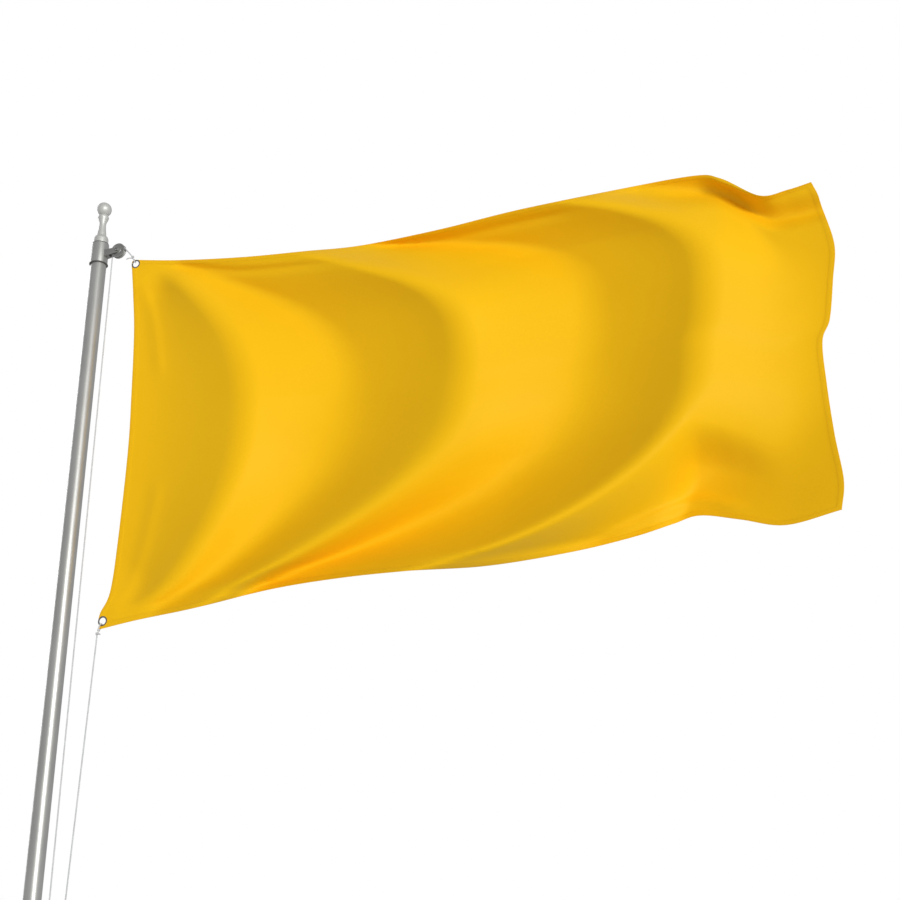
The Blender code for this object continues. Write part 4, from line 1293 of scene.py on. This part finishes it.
    def make_moving_ends(self, wardrobe: Wardrobe) -> None:
        """The lead, which lengthens as the flag comes down, and the fall, which shortens."""
        lead_line = self.lead_line()
        lead = BraidedRope("halyard_lead_rope", lead_line, self.radius, step=0.0012).make()
        lead.data.materials.append(wardrobe[Slot.ROPE])
        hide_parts("halyard_lead")
        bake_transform(lead)
        fall_line = self.fall_line()
        fall = BraidedRope("halyard_fall_rope", fall_line, self.radius, sides=14).make()
        wardrobe.fit(fall, Body.POLE, Slot.ROPE, "halyard_fall")
        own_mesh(fall)

    def make_knot(self, wardrobe: Wardrobe, node: str, box: Box, tail: Point) -> None:
        """A knot of two wrapped turns whose tail sticks out.

        The rope's middle runs as a helix of radius wrap about the hoist line, narrows to the line at both
        ends, and then goes out along the tail.

        Args:
            wardrobe: The materials.
            node: The CAD node that the knot stands for.
            box: That node's box.
            tail: From the knot's centre to the tail's end.
        """
        radius = self.tightened * self.radius
        wrap = box.size[0] / 2 - self.radius
        angle = np.linspace(0.5 * math.pi, 4.6 * math.pi, 40)
        share = np.linspace(-1, 1, 40)
        spread = wrap * (1 - share**6)
        climb = (box.size[2] / 2 - radius) * share
        loop = np.stack([spread * np.cos(angle), spread * np.sin(angle), climb], axis=-1)[::-1]
        end = np.array(tail)
        bend = loop[-1] * 0.6 + end * 0.35 + (0, -0.001, 0.002)
        out = np.array([bend, end * 0.75 + (0, -0.0006, 0.0012), end])
        line = box.centre + np.concatenate([loop, out])
        knot = BraidedRope(f"{node}_rope", line, radius, step=0.0009, round_ends=True).make()
        wardrobe.fit(knot, Body.HOIST, Slot.ROPE, node)

    def make_tie(self, wardrobe: Wardrobe, corner: str) -> None:
        """The rope loop from a knot through its grommet and back on the other side.

        Args:
            wardrobe: The materials.
            corner: Which corner of the flag, top or bottom.
        """
        knot = Box.of(f"{corner}_knot")
        eye = Box.of(f"grommet_{corner}")
        reach = float(np.linalg.norm(knot.centre - eye.centre))
        out = (knot.centre - eye.centre) / reach
        across = np.array((0.0, 1.0, 0.0))
        inside = EYE_RADIUS - self.radius - self.tie_clearance
        side = eye.size[1] / 2 + self.radius + self.tie_stand_off
        end = reach - knot.size[0] / 2 - self.tie_stand_off
        half = [
            (inside, 0.0),
            (inside + 0.0012, 0.65 * side),
            (inside + 0.0045, side),
            (0.5 * (inside + end) + 0.002, side + 0.0002),
            (end, 0.72 * side),
        ]
        front = [eye.centre + out * s - across * y for s, y in reversed(half)]
        back = [eye.centre + out * s + across * y for s, y in half[1:]]
        line = smooth_line([*front, *back], 25)
        tie = BraidedRope(f"{corner}_tie_rope", line, self.radius, step=0.0010, round_ends=True).make()
        wardrobe.fit(tie, Body.FLAG, Slot.ROPE, f"{corner}_tie_loop")


# ---------------------------------------------------------------- flag


@dataclass(frozen=True)
class FoldLine:
    """A line along which the waving cloth is nearest or furthest, bowed between the hoist's corners.

    At height v its place is middle * (1 - pull * edge ** power), where edge runs from 0 at mid-height
    to 1 at the cloth's upper or lower edge, and pull and power have an upper and a lower value.
    """

    middle: float
    pull: tuple[float, float]
    power: tuple[float, float]
    crisp: tuple[float, float]
    size: float = 1.0

    def place(self, v: Array) -> Array:
        """Where the line is along the flag, at height v from 0 to 1."""
        edge = np.abs(2 * v - 1)
        upper = 1 - self.pull[0] * edge ** self.power[0]
        lower = 1 - self.pull[1] * edge ** self.power[1]
        return self.middle * np.where(v > 0.5, upper, lower)

    def sharpness(self, v: Array) -> Array:
        """0 where the cloth turns over the line in a soft wave, 1 where it has a crease."""
        upper, lower = self.crisp
        return lower + (upper - lower) * smooth_step(np.clip((v - 0.30) / 0.45, 0, 1))


@dataclass(frozen=True)
class Crease:
    """A small fold along its own route over the cloth, as (u, v) points."""

    route: tuple[tuple[float, float], ...]
    depth: float
    widths: tuple[float, float]

    def lift(self, u: Array, v: Array, length: float, height: float) -> Array:
        """Depth of the fold at points of the cloth.

        It falls off as a bell with the distance from the route, with a width of its own on each side, and
        fades at the route's ends.

        Args:
            u: Places along the flag, from 0 to 1.
            v: Heights, from 0 to 1.
            length: The flag's length, in metres.
            height: The flag's height, in metres.

        Returns:
            The depth, in metres.
        """
        size = np.array((length, height))
        line = smooth_line(self.route, 60) * size
        run = arc_length(line) / arc_length(line)[-1]
        points = np.stack([u, v], axis=-1) * size
        best = np.full(u.shape, np.inf)
        share, side = np.zeros(u.shape), np.zeros(u.shape)
        for k in range(len(line) - 1):
            step = line[k + 1] - line[k]
            offset = points - line[k]
            t = np.clip((offset @ step) / (step @ step), 0, 1)
            away = offset - t[..., None] * step
            distance = np.hypot(away[..., 0], away[..., 1])
            nearer = distance < best
            best = np.where(nearer, distance, best)
            side = np.where(nearer, step[0] * away[..., 1] - step[1] * away[..., 0], side)
            share = np.where(nearer, run[k] + t * (run[k + 1] - run[k]), share)
        width = np.where(side > 0, self.widths[0], self.widths[1])
        fade = 0.2
        ends = np.clip(share / fade, 0, 1) * np.clip((1 - share) / fade, 0, 1)
        return self.depth * np.exp(-((best / width) ** 2)) * smooth_step(ends)


NEAR_FAR_LINES = (
    FoldLine(0.020, (0.0, 0.0), (1.0, 1.0), (0.0, 0.0)),
    FoldLine(0.188, (0.78, 0.72), (2.4, 2.0), (1.3, 1.3), 0.75),
    FoldLine(0.352, (0.84, 0.80), (2.6, 2.2), (0.8, 0.1)),
    FoldLine(0.512, (0.45, 0.68), (3.4, 2.0), (1.5, 0.5)),
    FoldLine(0.690, (0.46, 0.68), (4.4, 2.4), (0.8, 0.1)),
    FoldLine(0.838, (0.20, 0.45), (4.5, 2.9), (1.5, 1.2)),
    FoldLine(0.985, (0.20, 0.28), (3.0, 2.85), (0.1, 0.1), 0.8),
    FoldLine(1.150, (0.0, 0.0), (1.0, 1.0), (0.0, 0.0), 0.4),
)

CREASES = (
    Crease(((0.70, 1.03), (0.80, 0.950), (0.91, 0.925), (1.08, 0.875)), 0.045, (0.075, 0.040)),
    Crease(((0.84, 0.985), (0.90, 0.985), (0.96, 1.010), (1.03, 1.010)), -0.014, (0.020, 0.020)),
    Crease(((0.81, -0.40), (0.81, -0.10), (0.82, 0.02), (0.84, 0.26)), 0.050, (0.080, 0.220)),
    Crease(((0.70, 0.012), (0.79, 0.045), (0.90, 0.030)), -0.010, (0.020, 0.030)),
    Crease(((-0.06, 0.99), (0.10, 0.975), (0.20, 0.955), (0.36, 0.955)), 0.009, (0.016, 0.024)),
    Crease(((0.38, 0.985), (0.52, 0.965), (0.70, 0.960)), 0.009, (0.018, 0.028)),
    Crease(((-0.04, 0.03), (0.12, 0.030), (0.26, 0.022), (0.42, 0.012)), 0.006, (0.014, 0.020)),
    Crease(((0.42, 0.010), (0.58, 0.028), (0.74, 0.022)), 0.007, (0.016, 0.022)),
    Crease(((0.00, -0.02), (0.04, 0.16), (0.06, 0.40)), -0.004, (0.030, 0.030)),
    Crease(((0.00, 1.02), (0.03, 0.84), (0.05, 0.62)), -0.004, (0.025, 0.030)),
)

# The flag's outline seen along +Y, as (x, z): each edge runs smoothly through its own points.
TOP_EDGE = (
    (0.148, 5.872), (0.360, 5.836), (0.634, 5.804), (0.890, 5.786), (1.110, 5.772), (1.410, 5.785),
    (1.700, 5.812), (2.008, 5.826), (2.314, 5.833), (2.410, 5.806), (2.530, 5.718), (2.620, 5.722),
    (2.698, 5.737),
)
BOTTOM_EDGE = (
    (0.152, 4.414), (0.308, 4.439), (0.533, 4.467), (0.818, 4.512), (1.063, 4.532), (1.307, 4.538),
    (1.580, 4.534), (1.857, 4.557), (2.055, 4.589), (2.181, 4.620), (2.265, 4.640), (2.387, 4.616),
    (2.518, 4.587), (2.683, 4.620),
)
HOIST_EDGE = (
    (0.152, 4.414), (0.156, 4.470), (0.190, 4.550), (0.203, 4.750), (0.210, 5.078), (0.203, 5.300),
    (0.190, 5.550), (0.170, 5.720), (0.148, 5.872),
)
FLY_EDGE = (
    (2.683, 4.620), (2.698, 4.712), (2.686, 4.857), (2.679, 5.025), (2.680, 5.170), (2.709, 5.242),
    (2.732, 5.378), (2.748, 5.500), (2.722, 5.644), (2.714, 5.690), (2.698, 5.737),
)


def edge_at(points: tuple, share: Array) -> Array:
    """Points of an (x, z) edge at shares of its length, along a smooth line."""
    line = smooth_line(points, 400)
    length = arc_length(line)
    return np.stack([np.interp(share * length[-1], length, line[:, k]) for k in (0, 1)], axis=-1)


def stations(length: float, count: int) -> Array:
    """Places from 0 to 1 along a side: close together at both hems and even between them."""
    hem = np.array((0.0, 0.0008, 0.0030, 0.0110, HEM - 0.0012, HEM + 0.0002, HEM + 0.0018)) / length
    middle = np.linspace(hem[-1], 1 - hem[-1], count)[1:-1]
    return np.concatenate([hem, middle, 1 - hem[::-1]])


@dataclass
class Flag:
    """The cloth, hemmed all round, with a grommet at each corner of its hoist."""

    length: float = 2.72
    height: float = 1.48
    thickness: float = 0.0006
    hem_thickness: float = 0.0016
    barrel_radius: float = 0.0134
    bead: float = 0.0016
    slope: float = 0.33
    steeper_at_edges: float = 0.5
    ease: float = 0.022
    least_spacing: float = 0.012
    calm_radius: float = 0.05
    calm_reach: float = 0.18
    columns: int = 260
    rows: int = 140

    def flat_place(self, u: Array, v: Array) -> Array:
        """The flag seen along +Y, as a Coons patch between its four edges."""
        top, bottom = edge_at(TOP_EDGE, u), edge_at(BOTTOM_EDGE, u)
        hoist, fly = edge_at(HOIST_EDGE, v), edge_at(FLY_EDGE, v)
        u, v = u[..., None], v[..., None]
        low_near, low_far, high_near, high_far = (
            np.array(p) for p in (BOTTOM_EDGE[0], BOTTOM_EDGE[-1], TOP_EDGE[0], TOP_EDGE[-1])
        )
        edges = (1 - v) * bottom + v * top + (1 - u) * hoist + u * fly
        lower = (1 - u) * low_near + u * low_far
        upper = (1 - u) * high_near + u * high_far
        return edges - (1 - v) * lower - v * upper

    def wave(self, u: Array, v: Array) -> Array:
        """Depth of the big waves, averaged over a short way along the flag so that no fold is sharp."""
        offsets = self.ease * np.linspace(-1, 1, 7)
        return sum(self.sharp_wave(u + offset, v) for offset in offsets) / len(offsets)

    def sharp_wave(self, u: Array, v: Array) -> Array:
        """Depth of the big waves before they are eased.

        Fold lines are alternately far and near. A line's depth is the slope times half the way to the
        nearer of its two neighbours, so the cloth is about as steep everywhere at one height. Between two
        lines the depth is a cubic curve whose ends are level on a soft line and steep on a crisp one.

        Args:
            u: Places along the flag, from 0 to 1.
            v: Heights, from 0 to 1.

        Returns:
            The depth, in metres, away from the viewer.
        """
        count = len(NEAR_FAR_LINES)
        order = np.arange(count)[:, None, None] * self.least_spacing
        places = np.stack([line.place(v) for line in NEAR_FAR_LINES])
        places = np.maximum.accumulate(places - order, axis=0) + order
        padded = np.concatenate([places[:1] - 0.08, places, places[-1:] + 0.1])
        sign = np.array([line.size * (-1) ** k for k, line in enumerate(NEAR_FAR_LINES)])[:, None, None]
        edge = np.abs(2 * v - 1)
        slope = self.slope * (1 + self.steeper_at_edges * (edge**2 - edge**8))
        gaps = np.diff(padded, axis=0)
        depths = sign * slope * self.length * np.minimum(gaps[:-1], gaps[1:]) / 2
        depth = np.where(u < places[0], depths[0], 0.0)
        for k in range(count - 1):
            t = np.clip((u - places[k]) / (places[k + 1] - places[k]), 0, 1)
            start, end = NEAR_FAR_LINES[k].sharpness(v), NEAR_FAR_LINES[k + 1].sharpness(v)
            rise = smooth_step(t) + start * (t**3 - 2 * t**2 + t) + end * (t**3 - t**2)
            inside = (u >= places[k]) & (u < places[k + 1])
            depth = np.where(inside, depths[k] + (depths[k + 1] - depths[k]) * rise, depth)
        return depth

    def calm(self, x: Array, z: Array) -> Array:
        """0 on the stiff corner patches round the grommets, rising to 1 on the free cloth."""
        eyes = [Box.of(f"grommet_{corner}").centre for corner in HOIST_CORNERS]
        reach = [np.hypot(x - eye[0], z - eye[2]) for eye in eyes]
        return smooth_step(np.clip((np.minimum(*reach) - self.calm_radius) / self.calm_reach, 0, 1))

    def rounded_corners(self, x: Array, z: Array) -> tuple[Array, Array]:
        """Round the hoist's corners about their grommets: squares about a centre become circles there."""
        for node, side in (("grommet_top", 1), ("grommet_bottom", -1)):
            centre = Box.of(node).centre
            out, up = x - centre[0], (z - centre[2]) * side
            inward = np.maximum(np.abs(out), np.abs(up)) / np.maximum(np.hypot(out, up), 1e-9)
            inward = np.where((out < 0) & (up > 0), inward, 1.0)
            x, z = centre[0] + out * inward, centre[2] + side * up * inward
        return x, z

    def surface(self, u: Array, v: Array) -> Array:
        """The cloth's middle surface: each flat place pushed along its ray from the view point."""
        x, z = self.rounded_corners(*np.moveaxis(self.flat_place(u, v), -1, 0))
        depth = self.wave(u, v)
        for crease in CREASES:
            depth = depth + crease.lift(u, v, self.length, self.height)
        depth = depth * self.calm(x, z)
        fan = np.array(VIEW_POINT)
        points = np.stack([x, np.zeros_like(x), z], axis=-1)
        return fan + (points - fan) * (1 - depth / fan[1])[..., None]

    def make(self, wardrobe: Wardrobe) -> None:
        along, up = stations(self.length, self.columns), stations(self.height, self.rows)
        u, v = np.meshgrid(along, up, indexing="ij")
        middle = self.surface(u, v)
        across = np.cross(np.gradient(middle, axis=0), np.gradient(middle, axis=1))
        across /= np.linalg.norm(across, axis=-1, keepdims=True)
        from_edge = np.minimum(np.minimum(u, 1 - u) * self.length, np.minimum(v, 1 - v) * self.height)
        in_hem = np.clip((HEM + 0.0006 - from_edge) / 0.0012, 0, 1)
        fold = 0.35 + 0.65 * np.sqrt(np.clip(from_edge / 0.0024, 0, 1))
        half = (self.thickness + (self.hem_thickness - self.thickness) * in_hem) / 2 * fold
        sides = [middle + across * half[..., None] * s for s in (1, -1)]
        cloth = self.closed_sheet(sides, u, v)
        self.cut_holes(cloth)
        material = ClothFinish().make(self.length, self.height)
        belongs(cloth, Body.FLAG, Slot.CLOTH, material, "flag")
        self.make_grommets(wardrobe)

    def closed_sheet(self, sides: list[Array], u: Array, v: Array) -> bpy.types.Object:
        """Join the cloth's two faces along their rims.

        Args:
            sides: The two faces' grids of points.
            u: Places along the flag.
            v: Heights.

        Returns:
            The cloth, with UVs in metres.
        """
        columns, rows = u.shape
        count = columns * rows
        face = grid_quads(columns, rows, False, False)
        numbers = np.arange(count).reshape(columns, rows)
        rim = np.concatenate([numbers[:-1, 0], numbers[-1, :-1], numbers[:0:-1, -1], numbers[0, :0:-1]])
        following = np.roll(rim, -1)
        band = np.stack([rim, following, following + count, rim + count], axis=-1)
        faces = np.concatenate([face[:, ::-1], face + count, band[:, ::-1]])
        uv = np.stack([u * self.length, v * self.height], axis=-1).reshape(-1, 2)
        points = np.concatenate([side.reshape(-1, 3) for side in sides])
        return mesh_object("flag_cloth", points, [faces], np.concatenate([uv, uv]), crease=60)

    def cut_holes(self, cloth: bpy.types.Object) -> None:
        """Cut the cloth where the grommets' barrels pass through it."""
        radius, reach = self.barrel_radius + GAP, 0.02
        profile = np.array([(radius, -reach), (radius, reach)])
        for corner in HOIST_CORNERS:
            centre = Box.of(f"grommet_{corner}").centre
            cutter = Turned(f"{corner}_hole_cutter", profile, tuple(centre), Axis.Y, 48).make()
            hole = cloth.modifiers.new("hole", "BOOLEAN")
            hole.operation, hole.solver, hole.object = "DIFFERENCE", "EXACT", cutter
            bake_modifiers(cloth)
            bpy.data.objects.remove(cutter)
        shade(cloth.data, 60)

    def make_grommets(self, wardrobe: Wardrobe) -> None:
        """Rolled eyelets: each face is half a torus that rolls over the hole's edge to a flat flange."""
        bead, lip = self.bead, self.thickness / 2 + GAP
        roll = np.linspace(math.pi, 0.25 * math.pi, 9)
        for corner in HOIST_CORNERS:
            box = Box.of(f"grommet_{corner}")
            outer, half = box.size[0] / 2, box.size[1] / 2
            crown = [(EYE_RADIUS + bead * (1 + math.cos(a)), half - bead * (1 - math.sin(a))) for a in roll]
            flange = [(outer - 0.0012, lip + 0.0007), (outer, lip + 0.0002), (outer, lip)]
            upper = [*crown, *flange, (self.barrel_radius, lip)]
            lower = [(r, -h) for r, h in reversed(upper)]
            section = np.array([*upper, *lower])
            ring = Turned(f"grommet_{corner}_ring", section, tuple(box.centre), Axis.Y, 72, ring=True).make()
            wardrobe.fit(ring, Body.FLAG, Slot.EYELET, f"grommet_{corner}")


# ---------------------------------------------------------------- studio


@dataclass
class Studio:
    """The floor, the soft lights, the white surroundings and the camera."""

    camera_rise: float = 19.43
    camera_heading: float = 18.0
    lens: float = 50.0
    floor_size: float = 60.0
    surround: float = 0.43

    def make(self) -> None:
        """Set up the stage."""
        self.make_floor()
        self.make_world()
        self.make_sun("key_light", 3.9, 30.0, (0.73, -0.68, -0.06), (1.0, 0.99, 0.97))
        self.make_sun("rim_light", 1.3, 40.0, (-0.80, 0.45, 0.35), (0.97, 0.98, 1.0))
        self.make_camera()
        bpy.context.scene.view_settings.view_transform = "Standard"

    def make_floor(self) -> None:
        """A pale floor with a faint mottle."""
        corners = self.floor_size * np.array(((-1, -1), (1, -1), (1, 1), (-1, 1)))
        top, bottom = -0.0005, -0.0505
        rings = np.array([[(x, y, height) for x, y in corners] for height in (bottom, top)])
        floor = skin("floor", rings)
        material, nodes, shader = new_material("pale_floor")
        place = nodes.add("TexCoord").outputs["Object"]
        mottle = nodes.add("TexNoise", {"Vector": place, "Scale": 3.0, "Detail": 5.0})
        colour = nodes.blend(nodes.ramp(mottle.outputs[0], 0.3, 0.7), (0.86, 0.86, 0.85), (0.82, 0.82, 0.81))
        material.node_tree.links.new(colour, shader.inputs["Base Color"])
        shader.inputs["Roughness"].default_value = 0.85
        floor.data.materials.append(material)

    def make_world(self) -> None:
        """White surroundings to look at, and a softer grey for the light that they give."""
        world = bpy.data.worlds.new("surround")
        bpy.context.scene.world = world
        world.use_nodes = True
        nodes = Nodes(world.node_tree)
        world.node_tree.nodes.clear()
        seen = nodes.add("Background", {"Color": (1, 1, 1, 1), "Strength": 1.0})
        given = nodes.add("Background", {"Color": (0.97, 0.985, 1.0, 1), "Strength": self.surround})
        direct = nodes.add("LightPath").outputs["Is Camera Ray"]
        mixed = nodes.add("MixShader", {0: direct, 1: given.outputs[0], 2: seen.outputs[0]})
        nodes.add("OutputWorld", {"Surface": mixed.outputs[0]})

    def make_sun(self, name: str, strength: float, width: float, source: Point, colour: Colour) -> None:
        """A distant soft light.

        Args:
            name: The light's name.
            strength: Its strength.
            width: The angle that it fills, in degrees.
            source: The direction that it shines from.
            colour: Its colour.
        """
        light = bpy.data.lights.new(name, "SUN")
        light.energy, light.angle, light.color = strength, math.radians(width), colour
        sun = linked(name, light)
        sun.rotation_euler = Vector(source).to_track_quat("Z", "Y").to_euler()

    def make_camera(self) -> None:
        """The camera."""
        data = bpy.data.cameras.new("camera")
        data.lens, data.sensor_width = self.lens, 36.0
        camera = linked("camera", data)
        camera.location = VIEW_POINT
        camera.rotation_euler = (math.radians(90 + self.camera_rise), 0.0, math.radians(self.camera_heading))
        bpy.context.scene.camera = camera


def main() -> None:
    """Build every piece, in order."""
    logging.basicConfig(level=logging.INFO, format="%(name)s: %(message)s")
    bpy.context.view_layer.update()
    Studio().make()
    wardrobe = Wardrobe()
    Halyard().make(wardrobe)
    Flag().make(wardrobe)
    Base().make(wardrobe)
    Pole().make(wardrobe)
    Cleat().make(wardrobe)
    Truck().make(wardrobe)
    Pulley().make(wardrobe)
    Finial().make(wardrobe)


if __name__ == "__main__":
    main()
